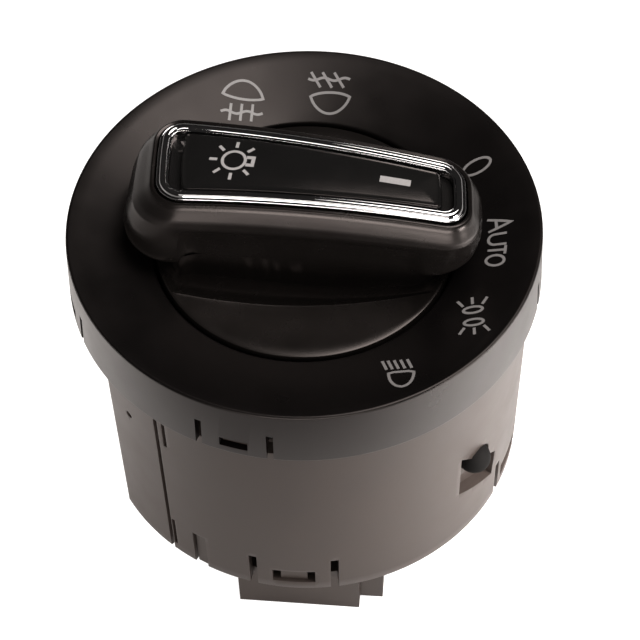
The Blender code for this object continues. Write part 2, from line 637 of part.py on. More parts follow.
def make_boards_and_lamps(detent_frame):
    """Main board with lamps and chip, and the small lamp board under the shaft."""
    profile = [(BOARD_RADIUS, BOARD_TOP), (BOARD_RADIUS, BOARD_Z), (SUPPORT_TUBE_RADIUS + GAP, BOARD_Z),
               (SUPPORT_TUBE_RADIUS + GAP, BOARD_TOP)]
    board = make_object("circuit_board", turned(profile), "board_green", MAIN_FRAME)
    flat = box((FLAT_INNER - 2 * GAP, HOUSING_RADIUS), (-HOUSING_RADIUS, HOUSING_RADIUS),
               (BOARD_Z - GAP, BOARD_TOP + GAP))
    cut(board, rotated(flat, FLAT_ANGLE))
    clearance = post(DETENT_RADIUS + DETENT_WALL + 2 * GAP, BOARD_Z - GAP, BOARD_TOP + GAP)
    cut(board, moved(clearance, (DETENT_PLACE, 0, 0)), detent_frame)
    for number, angle in enumerate(LIGHT_PIPE_ANGLES, start=1):
        lamp = box((-LAMP_SIZE / 2, LAMP_SIZE / 2), (-LAMP_SIZE / 2, LAMP_SIZE / 2),
                   (BOARD_TOP + GAP, BOARD_TOP + GAP + LAMP_HEIGHT))
        placed = moved(lamp, polar(LIGHT_PIPE_PLACE, angle))
        make_object(f"legend_led_{number}", placed, "lamp_white", MAIN_FRAME)
    chip = box((CHIP_PLACE - CHIP_SIZE / 2, CHIP_PLACE + CHIP_SIZE / 2), (-CHIP_SIZE / 2, CHIP_SIZE / 2),
               (BOARD_TOP + GAP, BOARD_TOP + GAP + CHIP_HEIGHT))
    make_object("controller_chip", rotated(chip, CHIP_ANGLE), "chip_black", MAIN_FRAME)
    low = COVER_TOP + GAP
    small_board = post(LED_BOARD_RADIUS, low, low + BOARD_THICKNESS, 36)
    make_object("knob_led_board", small_board, "board_green", MAIN_FRAME)
    lamp_z = low + BOARD_THICKNESS + GAP
    lamp = turned([(0, lamp_z + KNOB_LAMP_HEIGHT), (KNOB_LAMP_RADIUS * 0.7, lamp_z + KNOB_LAMP_HEIGHT * 0.9),
                   (KNOB_LAMP_RADIUS, lamp_z + KNOB_LAMP_HEIGHT * 0.6), (KNOB_LAMP_RADIUS, lamp_z),
                   (0, lamp_z)], 20)
    make_object("knob_led", lamp, "lamp_white", MAIN_FRAME)


# Turning and sliding pieces

def make_rotor(knob_frame):
    """Cup that carries the knob's barrel on keys, with detent pockets under its flange."""
    profile = [(ROTOR_RADIUS, ROTOR_TOP), (ROTOR_RADIUS, ROTOR_Z + FLANGE_THICKNESS),
               (FLANGE_RADIUS, ROTOR_Z + FLANGE_THICKNESS), (FLANGE_RADIUS, ROTOR_Z),
               (SHAFT_RADIUS + GAP, ROTOR_Z), (SHAFT_RADIUS + GAP, ROTOR_Z + ROTOR_FLOOR),
               (ROTOR_INNER, ROTOR_Z + ROTOR_FLOOR), (ROTOR_INNER, ROTOR_TOP)]
    rotor = make_object("rotor_cup", turned(profile), "slide_plastic", knob_frame)
    cuts = []
    for angle in (0, math.pi):
        cuts.append(radial_box(angle, BARREL_RADIUS - BARREL_WALL, BARREL_RADIUS + KEY_RISE + GAP,
                               KEY_WIDTH + 2 * GAP, ROTOR_Z + ROTOR_FLOOR + GAP, ROTOR_TOP + GAP))
    pocket_radius = 2 * DETENT_RADIUS
    for stop in (-2, -1, 0, 1):
        pocket = laid_along_x(post(pocket_radius, DETENT_PLACE - 2 * MM, FLANGE_RADIUS + GAP, 32))
        pocket = moved(pocket, (0, 0, ROTOR_Z - pocket_radius + DETENT_POCKET))
        cuts.append(rotated(pocket, DETENT_ANGLE - REST_ANGLE - stop * STEP_ANGLE))
    cut(rotor, grouped(cuts))
    wiper_z = ROTOR_Z + FLANGE_THICKNESS + GAP
    for number, side in ((1, 1), (2, -1)):
        blade = box((COLLAR_RADIUS + 2 * GAP, FLANGE_RADIUS - GAP), (-WIPER_WIDTH / 2, WIPER_WIDTH / 2),
                    (wiper_z, wiper_z + WIPER_HEIGHT))
        make_object(f"wiper_contact_{number}", rotated(blade, side * math.pi / 2), "contact_brass", knob_frame)
    make_click_spring(knob_frame)


def make_click_spring(knob_frame):
    """Hairpin leaf that straddles the shaft and clicks into its grooves."""
    low = ROTOR_Z + ROTOR_FLOOR + GAP
    near = SHAFT_RADIUS + GAP
    far = near + CLIP_THICKNESS
    bend = 8
    outer = [(-CLIP_LENGTH, -far)]
    inner = [(-CLIP_LENGTH, -near)]
    for step in range(bend + 1):
        angle = -math.pi / 2 + math.pi * step / bend
        outer.append((CLIP_LENGTH + far * math.cos(angle) - far, far * math.sin(angle)))
        inner.append((CLIP_LENGTH + near * math.cos(angle) - far, near * math.sin(angle)))
    outer.append((-CLIP_LENGTH, far))
    inner.append((-CLIP_LENGTH, near))
    outline = outer + inner[::-1]
    make_object("pull_click_spring", prism(outline, low, low + CLIP_THICKNESS), "spring_steel", knob_frame)


def bar_outline(left, right, left_width, right_width, corner):
    """Stations along a tapered bar with round corners, as pairs of place and half-width."""
    bend_count, middle_count = 5, 8
    places = [corner * (1 - math.cos(math.pi / 2 * step / bend_count)) for step in range(bend_count)]
    span = right - left - 2 * corner
    places += [corner + span * step / middle_count for step in range(middle_count + 1)]
    places += [right - left - place for place in places[bend_count - 1::-1]]
    stations = []
    for place in places:
        width = left_width + (right_width - left_width) * place / (right - left)
        short = corner - min(place, right - left - place, corner)
        stations.append((left + place, width - corner + math.sqrt(corner ** 2 - short ** 2)))
    return stations


def arched(stations, level, slant=RING_SLANT, arch=GRIP_ARCH):
    """Loop round a bar with slanted ends, at a level above the rim that falls away towards the ends."""
    sides = []
    for side in (-1, 1):
        sides.append([(u - side * slant * width, side * width, RIM_Z + level - arch * u ** 2 / 2)
                      for u, width in stations])
    near, far = sides
    return near + far[::-1]


def bar(loops):
    """Solid through loops round a bar, with its top and its bottom in strips across it."""
    points, faces = lofted(loops)
    count = len(loops[0])
    last = len(points) - count
    faces = faces[:-2]
    for base in (0, last):
        for step in range(count // 2 - 1):
            faces.append([base + step, base + step + 1, base + count - 2 - step, base + count - 1 - step])
    return points, faces


def ring_outline(inset):
    """Stations round the plated frame, drawn in by a distance."""
    left, right, left_width, right_width, corner = RING_OUTLINE
    return bar_outline(left + inset, right - inset, left_width - inset, right_width - inset,
                       max(corner - inset, 1.2 * MM))


def grip_loops():
    """Loops of the grip from its top edge down into the disc."""
    loops = [arched(bar_outline(*outline), RING_LEVEL - drop, slant)
             for (drop, *outline), slant in zip(GRIP_LEVELS, GRIP_SLANTS)]
    lowest = bar_outline(*GRIP_LEVELS[-1][1:])
    loops.append(arched(lowest, -DISH_DEPTH - DISC_THICKNESS / 2, GRIP_SLANTS[-1], 0.0))
    return loops


def scoop_shape(side):
    """Cutter for one finger scoop: out from the grip's wall and down into the disc."""
    start, slope, bow = SCOOP_EDGE
    wall_start, wall_slope = SCOOP_WALL
    low_end, high_end = SCOOP_ENDS
    outside = KNOB_RADIUS + GAP
    stations = 16
    loops = []
    for index in range(stations + 1):
        u = low_end + (high_end - low_end) * index / stations
        edge = start + slope * u + bow * u ** 2
        ease = max(0.0, 1 - min(u - low_end, high_end - u) / (2.5 * MM))
        wall = min(wall_start + wall_slope * u + 2.0 * MM * ease ** 2, edge - 1.5 * MM)
        room = edge - wall
        depth = SCOOP_DEPTH * min(1.0, room / (6 * MM))
        flat = -DISH_DEPTH
        section = [(edge + 0.1 * MM, flat + 0.03 * MM), (edge - 0.3 * room, flat - 0.7 * depth),
                   (wall + 0.33 * room, flat - depth), (wall + 0.1 * room, flat - 0.4 * depth),
                   (wall, flat + 2.2 * MM), (wall + 1.1 * MM, SCOOP_CEILING - 1.0 * MM),
                   (wall + 1.6 * MM, SCOOP_CEILING - 0.3 * MM), (wall + 2.6 * MM, SCOOP_CEILING),
                   (outside, SCOOP_CEILING), (outside, flat + 0.03 * MM)]
        loops.append([(u, side * v, RIM_Z + z) for v, z in section])
    return lofted(loops)


def make_knob(knob_frame):
    """Disc, barrel and bar grip in one moulding, hollow for the light block."""
    disc_under = DISC_Z - DISC_THICKNESS
    barrel_inner = BARREL_RADIUS - BARREL_WALL
    oversize = KNOB_RADIUS + TURNING_ALLOWANCE
    barrel_end = disc_under - BARREL_LENGTH
    profile = [(0, DISC_Z), (KNOB_RADIUS - RIM_EDGE, DISC_Z), (oversize, DISC_Z - RIM_EDGE - TURNING_ALLOWANCE),
               (oversize, disc_under), (BARREL_RADIUS, disc_under), (BARREL_RADIUS, barrel_end),
               (barrel_inner, barrel_end), (barrel_inner, disc_under), (0, disc_under)]
    knob = make_object("knob_body", turned(profile), "knob_black", knob_frame)
    fuse(knob, bar(grip_loops()))
    reach = KNOB_RADIUS + 12 * MM
    ceiling = DISC_Z + OVERHANG_CLEARANCE
    overhang = [(reach, ceiling), (reach, disc_under - GAP), (KNOB_RADIUS, disc_under - GAP),
                (KNOB_RADIUS, ceiling - 1.0 * MM), (KNOB_RADIUS + 0.6 * MM, ceiling)]
    cut(knob, rotated(turned(overhang), OVERHANG_TURN))
    for side in (-1, 1):
        cut(knob, scoop_shape(side))
    pocket = ring_outline(-GAP)
    cut(knob, bar([arched(pocket, RING_LEVEL - POCKET_DEPTH), arched(pocket, RING_LEVEL + POCKET_DEPTH)]))
    length, width = LIGHT_BLOCK_HALF_LENGTH + GAP, LIGHT_BLOCK_HALF_WIDTH + GAP
    cut(knob, box((-length, length), (-width, width), (DISC_Z - GAP, RIM_Z + RING_LEVEL)))
    cut(knob, post(SHAFT_RADIUS + GAP, disc_under - GAP, DISC_Z + GAP))
    keys = [radial_box(angle, BARREL_RADIUS - BARREL_WALL / 2, BARREL_RADIUS + KEY_RISE, KEY_WIDTH,
                       barrel_end + GAP, disc_under + GAP) for angle in (0, math.pi)]
    fuse(knob, grouped(keys))


def make_knob_trim(knob_frame):
    """Plated frame, black panel and the clear block under it."""
    base = RING_LEVEL - POCKET_DEPTH + GAP
    ring = [arched(ring_outline(0), base), arched(ring_outline(0), RING_LEVEL - RING_BEAD),
            arched(ring_outline(RING_BEAD / 3), RING_LEVEL - RING_BEAD / 4),
            arched(ring_outline(RING_BEAD), RING_LEVEL),
            arched(ring_outline(RING_BAND), RING_LEVEL - RING_SLOPE), arched(ring_outline(RING_BAND), base)]
    make_object("chrome_trim", lofted(ring, closed=True), "chrome", knob_frame)

    inset = RING_BAND + GAP
    left, right, left_width, right_width, _ = RING_OUTLINE
    pad = bar_outline(left + inset + PANEL_WELL, right - inset - PANEL_WELL, left_width - inset - GAP,
                      right_width - inset - GAP, PAD_CORNER)
    top = base + PANEL_RISE
    floor = top - PANEL_PAD_RISE
    edge = ring_outline(inset)
    panel = [arched(edge, base), arched(edge, floor), arched(pad, floor), arched(pad, top)]
    make_object("insert_panel", bar(panel), "panel_black", knob_frame)

    half, width = LIGHT_BLOCK_HALF_LENGTH, LIGHT_BLOCK_HALF_WIDTH
    block_top = RIM_Z + base - GRIP_ARCH * half ** 2 / 2 - GAP
    make_object("knob_light_guide", box((-half, half), (-width, width), (DISC_Z, block_top)),
                "light_guide", knob_frame)


def make_pull_shaft(knob_frame):
    """Clear shaft from the knob down to the carriage, with grooves for the pull clicks."""
    disc_under = DISC_Z - DISC_THICKNESS
    foot_top = CARRIAGE_Z - GAP
    shoulder = CARRIAGE_Z + CARRIAGE_THICKNESS + GAP
    neck = SHAFT_RADIUS - SHAFT_NECK
    profile = [(0, DISC_Z - GAP), (SHAFT_RADIUS, DISC_Z - GAP), (SHAFT_RADIUS, disc_under - GAP),
               (SHAFT_COLLAR_RADIUS, disc_under - GAP), (SHAFT_COLLAR_RADIUS, disc_under - SHAFT_FOOT)]
    profile.append((SHAFT_RADIUS, disc_under - SHAFT_FOOT))
    groove = ROTOR_Z + ROTOR_FLOOR + GAP + CLIP_THICKNESS / 2
    click_radius = SHAFT_RADIUS - CLICK_GROOVE
    for click in range(3):
        middle = groove - click * CLICK_PITCH
        profile += [(SHAFT_RADIUS, middle + CLIP_THICKNESS), (click_radius, middle + CLIP_THICKNESS / 3),
                    (click_radius, middle - CLIP_THICKNESS / 3), (SHAFT_RADIUS, middle - CLIP_THICKNESS)]
    profile += [(SHAFT_RADIUS, shoulder), (neck, shoulder), (neck, foot_top), (SHAFT_FOOT_RADIUS, foot_top),
                (SHAFT_FOOT_RADIUS, foot_top - SHAFT_FOOT), (0, foot_top - SHAFT_FOOT)]
    make_object("pull_shaft", turned(profile, 20), "light_guide", knob_frame)


def make_carriage(cover_frame):
    """Slider that follows the shaft without turning, with a contact on one arm."""
    high = CARRIAGE_Z + CARRIAGE_THICKNESS
    disc = post(CARRIAGE_RADIUS, CARRIAGE_Z, high, 40)
    carriage = make_object("pull_carriage", disc, "slide_plastic", cover_frame)
    half = CARRIAGE_ARM_WIDTH / 2
    trim = CARRIAGE_THICKNESS / 10
    reach = CARRIAGE_ARM_REACH
    fuse(carriage, box((-reach, reach), (-half, half), (CARRIAGE_Z + trim, high - trim)))
    neck = SHAFT_RADIUS - SHAFT_NECK + GAP
    cut(carriage, post(neck, CARRIAGE_Z - GAP, high + GAP))
    cut(carriage, box((-neck * 0.9, neck * 0.9), (0, CARRIAGE_RADIUS + GAP), (CARRIAGE_Z - GAP, high + GAP)))
    blade = box((SUPPORT_TUBE_RADIUS + 2 * GAP, reach - GAP), (-half + GAP, half - GAP),
                (high + GAP - trim, high + GAP - trim + CLIP_THICKNESS))
    make_object("carriage_contact", blade, "contact_brass", cover_frame)


def make_detent(detent_frame):
    """Sprung plunger under the rotor's flange, and its coil spring."""
    top = ROTOR_Z - GAP
    low = top - DETENT_LENGTH
    bore = DETENT_RADIUS - 0.5 * MM
    bore_top = top - 2.6 * MM
    profile = [(0, top), (DETENT_RADIUS * 0.5, top - 0.15 * MM), (DETENT_RADIUS * 0.9, top - 0.8 * MM),
               (DETENT_RADIUS, top - 1.4 * MM), (DETENT_RADIUS, low), (bore, low), (bore, bore_top),
               (0, bore_top)]
    plunger = moved(turned(profile, 24), (DETENT_PLACE, 0, 0))
    make_object("detent_plunger", plunger, "slide_plastic", detent_frame)
    seat = low - DETENT_TRAVEL
    spring = coil(bore - GAP / 2, 0.18 * MM, seat, bore_top - DETENT_TRAVEL - GAP / 2, 7)
    make_object("detent_spring", moved(spring, (DETENT_PLACE, 0, 0)), "spring_steel", detent_frame)


def make_latch(side, frame):
    """Sprung dome-nosed latch that holds the switch in the dashboard, and its coil spring."""
    shoulder = LATCH_REACH - LATCH_RADIUS
    inner_end = LATCH_REACH - LATCH_LENGTH
    bore_end = shoulder - 1.5 * MM
    arcs = 7
    profile = [(0, LATCH_REACH)]
    for step in range(1, arcs + 1):
        angle = math.pi / 2 * (1 - step / arcs)
        profile.append((LATCH_RADIUS * math.cos(angle), shoulder + LATCH_RADIUS * math.sin(angle)))
    profile += [(LATCH_RADIUS, inner_end), (LATCH_BORE, inner_end), (LATCH_BORE, bore_end), (0, bore_end)]
    latch = moved(laid_along_x(turned(profile, 28)), (0, 0, LATCH_Z))
    make_object(f"release_latch_{side}", latch, "housing_black", frame)
    spring = coil(LATCH_BORE - GAP, 0.25 * MM, LATCH_GUIDE_END + HOUSING_WALL + GAP,
                  bore_end - LATCH_TRAVEL - GAP, 7)
    make_object(f"latch_spring_{side}", moved(laid_along_x(spring), (0, 0, LATCH_Z)), "spring_steel", frame)


for old in list(bpy.data.objects):
    bpy.data.objects.remove(old, do_unlink=True)
MATERIALS = {name: make_material(name) for name in FINISHES}
MAIN_FRAME = make_frame("main_axis", 0.0)
knob_axis = make_frame("knob_turn_axis", REST_ANGLE)
cover_axis = make_frame("connector_direction", CONNECTOR_ANGLE)
detent_axis = make_frame("detent_direction", DETENT_ANGLE)
latch_axes = {side: make_frame(f"latch_direction_{side}", angle) for side, angle in LATCH_ANGLES.items()}

make_front_bezel()
make_legend_light_guide()
make_main_housing(latch_axes)
make_rear_cover(cover_axis, detent_axis)
make_terminals(cover_axis)
make_boards_and_lamps(detent_axis)
make_rotor(knob_axis)
make_knob(knob_axis)
make_knob_trim(knob_axis)
make_pull_shaft(knob_axis)
make_carriage(cover_axis)
make_detent(detent_axis)
for latch_side, latch_axis in latch_axes.items():
    make_latch(latch_side, latch_axis)
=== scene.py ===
"""Rotary headlight switch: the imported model, dressed piece by piece in the order it is put together."""
import math

import bmesh
import bpy
from mathutils import Matrix, Vector


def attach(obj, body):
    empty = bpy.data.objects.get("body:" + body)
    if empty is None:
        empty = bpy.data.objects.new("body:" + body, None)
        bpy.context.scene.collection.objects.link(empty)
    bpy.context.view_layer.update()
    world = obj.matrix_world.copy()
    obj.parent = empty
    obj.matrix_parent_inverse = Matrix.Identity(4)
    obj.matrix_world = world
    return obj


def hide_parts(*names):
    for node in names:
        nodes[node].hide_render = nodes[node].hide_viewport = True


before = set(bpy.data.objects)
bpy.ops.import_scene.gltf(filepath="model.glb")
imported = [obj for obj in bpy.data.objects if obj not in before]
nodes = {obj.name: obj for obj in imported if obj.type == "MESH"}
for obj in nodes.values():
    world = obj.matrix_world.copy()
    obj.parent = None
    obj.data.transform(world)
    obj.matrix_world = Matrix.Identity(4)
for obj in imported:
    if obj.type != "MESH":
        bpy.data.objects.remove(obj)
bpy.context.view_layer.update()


# Rear cover with the connector shroud: glass-filled nylon, injection moulded in one piece with its
# snap hooks. It closes the housing's back, and the wiring plug goes into the shroud.
MM = 0.001
PLASTIC_TINT = "#FFF3EF"


def colour(code):
    """Linear colour of an sRGB hex value."""
    parts = [int(code[place:place + 2], 16) / 255 for place in (1, 3, 5)]
    return (*(part / 12.92 if part <= 0.04045 else ((part + 0.055) / 1.055) ** 2.4 for part in parts), 1.0)


def add_node(material, kind, links=None, values=None, **settings):
    """Adds a shader node with its settings, its own values and what feeds it."""
    node = material.node_tree.nodes.new(kind)
    for name, setting in settings.items():
        setattr(node, name, setting)
    for socket, value in (values or {}).items():
        node.inputs[socket].default_value = value
    for socket, source in (links or {}).items():
        material.node_tree.links.new(source, node.inputs[socket])
    return node


def blank_material(name):
    """Material with an empty node tree."""
    material = bpy.data.materials.new(name)
    material.use_nodes = True
    material.node_tree.nodes.clear()
    return material


def add_noise(material, size, detail=2.0):
    """Soft noise in the object's own space, with blotches of a size in metres."""
    place = add_node(material, "ShaderNodeTexCoord").outputs["Object"]
    noise = add_node(material, "ShaderNodeTexNoise", {"Vector": place},
                     {"Scale": 1 / size, "Detail": detail})
    return noise.outputs[0]


def add_blend(material, share, dark, light):
    """Two sRGB hex tones mixed by a share."""
    blend = add_node(material, "ShaderNodeMix", {0: share}, {6: colour(dark), 7: colour(light)},
                     data_type="RGBA")
    return blend.outputs[2]


def add_gloss(material, share, low, high, middle_only=True):
    """Roughness that follows a share. Noise is mostly 0.3 to 0.7, so that part is spread out."""
    window = {"From Min": 0.3, "From Max": 0.7} if middle_only else {}
    gloss = add_node(material, "ShaderNodeMapRange", {"Value": share},
                     {**window, "To Min": low, "To Max": high})
    return gloss.outputs[0]


def add_bump(material, height, strength, distance):
    """Relief with a depth in metres."""
    bump = add_node(material, "ShaderNodeBump", {"Height": height},
                    {"Strength": strength, "Distance": distance})
    return bump.outputs[0]


def surfaced(material, links, values):
    """Ends the material with a principled shader."""
    shader = add_node(material, "ShaderNodeBsdfPrincipled", links, values)
    add_node(material, "ShaderNodeOutputMaterial", {"Surface": shader.outputs[0]})
    return material


def moulded_plastic(name, dark, light, ior, roughness, grain, relief, sheen=0.5):
    """Moulded plastic: two close tones in soft clouds, and the fine grain that the eroded mould leaves.

    Gives the eye a satin black whose highlights break up a little and are nowhere quite even.
    """
    material = blank_material(name)
    clouds = add_noise(material, 7 * MM, 3.0)
    links = {"Base Color": add_blend(material, clouds, dark, light),
             "Roughness": add_gloss(material, clouds, roughness - 0.03, roughness + 0.03),
             "Normal": add_bump(material, add_noise(material, grain), 0.5, relief)}
    values = {"IOR": ior, "Specular IOR Level": sheen, "Specular Tint": colour(PLASTIC_TINT)}
    return surfaced(material, links, values)


def finish(material, *names):
    """Gives CAD nodes a finish through their material slots."""
    for name in names:
        for material_slot in nodes[name].material_slots:
            material_slot.material = material


# A warm, slightly milky black. The grain of all mouldings is drawn at 0.2 to 0.5 mm, coarser than the real
# 0.1 mm, so that it shows.
NYLON_BLACK = moulded_plastic("glass_filled_nylon_black", "#2A2523", "#342E2B", 1.53, 0.34,
                              0.35 * MM, 0.006 * MM, 0.25)
finish(NYLON_BLACK, "rear_cover")


# Terminals: stamped brass blades, tin plated in the strip, pressed through the cover into the shroud.
# They take the current from the board to the wiring plug.
LINE_STRETCH = 0.06


def drawn_metal(name, tone, worn, roughness, line_pitch):
    """Stamped or drawn metal: fine lines along the strip that stretch the highlights.

    The lines are drawn at about 0.1 mm, coarser than the real ones, so that they show.
    """
    material = blank_material(name)
    place = add_node(material, "ShaderNodeTexCoord").outputs["Object"]
    stretch = add_node(material, "ShaderNodeMapping", {"Vector": place}, {"Scale": (1.0, 1.0, LINE_STRETCH)})
    lines = add_node(material, "ShaderNodeTexNoise", {"Vector": stretch.outputs[0]},
                     {"Scale": 1 / line_pitch, "Detail": 4.0}).outputs[0]
    links = {"Base Color": add_blend(material, lines, tone, worn),
             "Roughness": add_gloss(material, lines, roughness - 0.05, roughness + 0.08),
             "Normal": add_bump(material, lines, 0.3, 0.002 * MM)}
    return surfaced(material, links, {"Metallic": 1.0})


TIN_PLATE = drawn_metal("tin_plated_brass", "#C9CBCC", "#AEB0B1", 0.3, 0.12 * MM)
finish(TIN_PLATE, *[name for name in nodes if name.startswith("terminal_")])


# Circuit boards with their lamps and the controller chip: etched glass-epoxy under green solder mask,
# soldered parts on top. The lamps light the marks on the face and the knob.
BOARD_TRACK_PITCH = 1.2 * MM


def solder_mask():
    """Glass-epoxy board: copper tracks show as lighter lines under the green lacquer."""
    material = blank_material("solder_mask_green")
    place = add_node(material, "ShaderNodeTexCoord").outputs["Object"]
    tracks = add_node(material, "ShaderNodeTexBrick", {"Vector": place},
                      {"Scale": 1.0, "Brick Width": 6 * BOARD_TRACK_PITCH, "Row Height": BOARD_TRACK_PITCH,
                       "Mortar Size": BOARD_TRACK_PITCH / 6, "Color1": colour("#12502C"),
                       "Color2": colour("#155A32"), "Mortar": colour("#2E7A4A")})
    links = {"Base Color": tracks.outputs["Color"],
             "Normal": add_bump(material, tracks.outputs["Fac"], 0.4, 0.03 * MM)}
    return surfaced(material, links, {"Roughness": 0.3, "IOR": 1.55})


finish(solder_mask(), "circuit_board", "knob_led_board")
# Milky cream that scatters the lamp's light
LAMP_RESIN = moulded_plastic("cast_lamp_resin", "#E8E4CE", "#F0EDDC", 1.54, 0.18, 0.5 * MM, 0.003 * MM)
finish(LAMP_RESIN, "legend_led_1", "legend_led_2", "legend_led_3", "knob_led")
# Dull charcoal
CHIP_EPOXY = moulded_plastic("moulded_chip_epoxy", "#1E1E1F", "#262627", 1.55, 0.55, 0.2 * MM, 0.01 * MM)
finish(CHIP_EPOXY, "controller_chip")


# Light guides and the pull shaft: clear polycarbonate, moulded and polished where light goes in.
# They lead the lamps' light up to the face and the knob.
def clear_plastic():
    """Clear polycarbonate with faint flow clouds, so that edges glow and faces see through."""
    material = blank_material("clear_polycarbonate")
    flow = add_noise(material, 4 * MM)
    links = {"Base Color": add_blend(material, flow, "#EDF1F2", "#E2E8EA"),
             "Roughness": add_gloss(material, flow, 0.06, 0.16, middle_only=False)}
    return surfaced(material, links, {"IOR": 1.585, "Transmission Weight": 0.85})


finish(clear_plastic(), "legend_light_guide", "knob_light_guide", "pull_shaft")


# Sliding pieces inside: acetal rotor, carriage and detent plunger, moulded in a waxy natural white, with
# brass wipers riveted on and spring wire wound to shape. Only the gaps of the housing show them.
ACETAL = moulded_plastic("natural_acetal", "#CFCDC4", "#DAD8D0", 1.48, 0.38, 0.3 * MM, 0.004 * MM)
finish(ACETAL, "rotor_cup", "pull_carriage", "detent_plunger")
finish(drawn_metal("rolled_brass_strip", "#D0A95E", "#B98F45", 0.26, 0.1 * MM),
       "wiper_contact_1", "wiper_contact_2", "carriage_contact")
finish(drawn_metal("spring_steel_wire", "#B4B5B8", "#9B9CA0", 0.28, 0.08 * MM),
       "pull_click_spring", "detent_spring", "latch_spring_right", "latch_spring_left")


# Main housing: one moulding in black glass-filled nylon, with a flat on one side, latch windows and slit
# snap tongues. It carries the rotor's bearing, and the skirt of the face snaps over its top.
HOUSING_RADIUS = 38.0
HOUSING_WALL = 1.8
HOUSING_INNER = HOUSING_RADIUS - HOUSING_WALL
COVER_LEVEL = 11.9
DECK_LEVEL = 55.7
DECK_THICKNESS = 2.0
RIM_LEVEL = 66.5
COLLAR_TOP = DECK_LEVEL + 5.0
SKIRT_LEVEL = RIM_LEVEL - 11.05
TOP_CHAMFER = 0.25
FOOT_CHAMFER = 0.3
WALL_ROWS = 24
BEARING_RADIUS = 22.0
BEARING_INNER = BEARING_RADIUS - 2.0
BEARING_FOOT = 40.0
FLAT_ANGLE = math.radians(-102.5)
FLAT_DISTANCE = 35.6
# The latches' level and angles, and each window's corners from its latch's middle
LATCH_LEVEL = 32.2
LATCH_ANGLES = {"right": math.radians(26.6), "left": math.radians(206.6)}
LATCH_WINDOW = [(-4.5, 4.8), (-4.5, -6.1), (5.2, -11.1), (5.8, -4.7)]
LATCH_BORE = 3.1
# Patch that thickens the wall round each window, as ranges on the latch's own axes
WINDOW_PATCH = ((34.4, HOUSING_INNER + 0.3), (-5.3, 6.6), (LATCH_LEVEL - 11.9, LATCH_LEVEL + 5.6))
GUIDE_START = 21.0
GUIDE_HALF = 4.2
# Middle and half-width in degrees of the tongues that hold the rear cover, and middles of the skirt's
REAR_TONGUES = [(-27.1, 10.7), (46.6, 8.4), (116.0, 8.4), (185.0, 8.4)]
REAR_SLIT_WIDTH = 1.4
REAR_WINDOW_WIDTH = 7.4
SKIRT_TONGUES = [-39.3, 61.0, 148.0, -98.0]
SKIRT_TONGUE_HALF = 8.5
POCKET_WIDTH = 1.6
HOOK_WIDTH = 4.0
HOOK_REACH = 38.6
# Angle, width, lower and upper end of the cover's key notch and of two slits beside the flat
WALL_SLITS = [
    (-53.0, 2.6, COVER_LEVEL - 1, COVER_LEVEL + 9.7),
    (-60.1, 0.7, RIM_LEVEL - 20.7, RIM_LEVEL - 14.3),
    (-61.2, 0.7, RIM_LEVEL - 52.3, RIM_LEVEL - 44.4),
]
GROOVE_ANGLE = -62.6
GROOVE_WIDTH = 0.8
GROOVE_DEPTH = 1.2
VENT_ANGLE = -73.0
VENT_RADIUS = 0.7
PIPE_ANGLES = (68.0, 165.0, 290.0)
PIPE_PLACE = 30.5
PIPE_HOLE = 2.3
EDGE_WIDTH = 0.14 * MM
FINE_SEGMENTS = 216


def polar(radius, angle, height=0.0):
    """Point at a radius and an angle."""
    return radius * math.cos(angle), radius * math.sin(angle), height


def turned(profile, segments=FINE_SEGMENTS):
    """Ring-shaped solid of revolution about Z from a closed outline of (radius, height) points."""
    points = [polar(radius, 2 * math.pi * step / segments, height)
              for radius, height in profile for step in range(segments)]
    count = len(profile)
    faces = []
    for row in range(count):
        after = (row + 1) % count
        for step in range(segments):
            ahead = (step + 1) % segments
            faces.append([row * segments + step, row * segments + ahead,
                          after * segments + ahead, after * segments + step])
    return points, faces


def lofted(loops, closed=False):
    """Skin through loops of equally many points, capped at both ends unless it closes on itself."""
    count = len(loops[0])
    points = [point for loop in loops for point in loop]
    faces = []
    for row in range(len(loops) if closed else len(loops) - 1):
        start, after = row * count, ((row + 1) % len(loops)) * count
        for step in range(count):
            ahead = (step + 1) % count
            faces.append([start + step, start + ahead, after + ahead, after + step])
    if not closed:
        faces.append(list(range(count)))
        faces.append(list(range(len(points) - count, len(points))))
    return points, faces


def box(x_range, y_range, z_range):
    """Box between two values on each axis."""
    (x0, x1), (y0, y1) = x_range, y_range
    return lofted([[(x0, y0, z), (x1, y0, z), (x1, y1, z), (x0, y1, z)] for z in z_range])


def spun(shape, angle):
    """The shape turned about Z."""
    turn = Matrix.Rotation(angle, 3, "Z")
    return [tuple(turn @ Vector(point)) for point in shape[0]], shape[1]


def radial_box(angle, near, far, width, low, high):
    """Box that points outwards at an angle in degrees, between two radii."""
    return spun(box((near, far), (-width / 2, width / 2), (low, high)), math.radians(angle))


def radial_rod(angle, radius, near, far, level, segments=48):
    """Round rod that points outwards at an angle."""
    turns = [2 * math.pi * step / segments for step in range(segments)]
    loops = [[(x, radius * math.cos(turn), level + radius * math.sin(turn)) for turn in turns]
             for x in (near, far)]
    return spun(lofted(loops), angle)


def joined(shapes):
    """Several shapes in one list of points and faces."""
    points, faces = [], []
    for shape_points, shape_faces in shapes:
        base = len(points)
        points.extend(shape_points)
        faces.extend([[index + base for index in face] for face in shape_faces])
    return points, faces


def make_object(name, shape, material=None, sharp=30):
    """Mesh object from points in millimetres, with outward faces and crisp edges above an angle."""
    mesh = bpy.data.meshes.new(name)
    mesh.from_pydata([Vector(point) * MM for point in shape[0]], [], shape[1])
    work = bmesh.new()
    work.from_mesh(mesh)
    bmesh.ops.recalc_face_normals(work, faces=work.faces)
    work.to_mesh(mesh)
    work.free()
    if material:
        mesh.materials.append(material)
    mesh.shade_smooth()
    mesh.set_sharp_from_angle(angle=math.radians(sharp))
    piece = bpy.data.objects.new(name, mesh)
    bpy.context.scene.collection.objects.link(piece)
    return piece


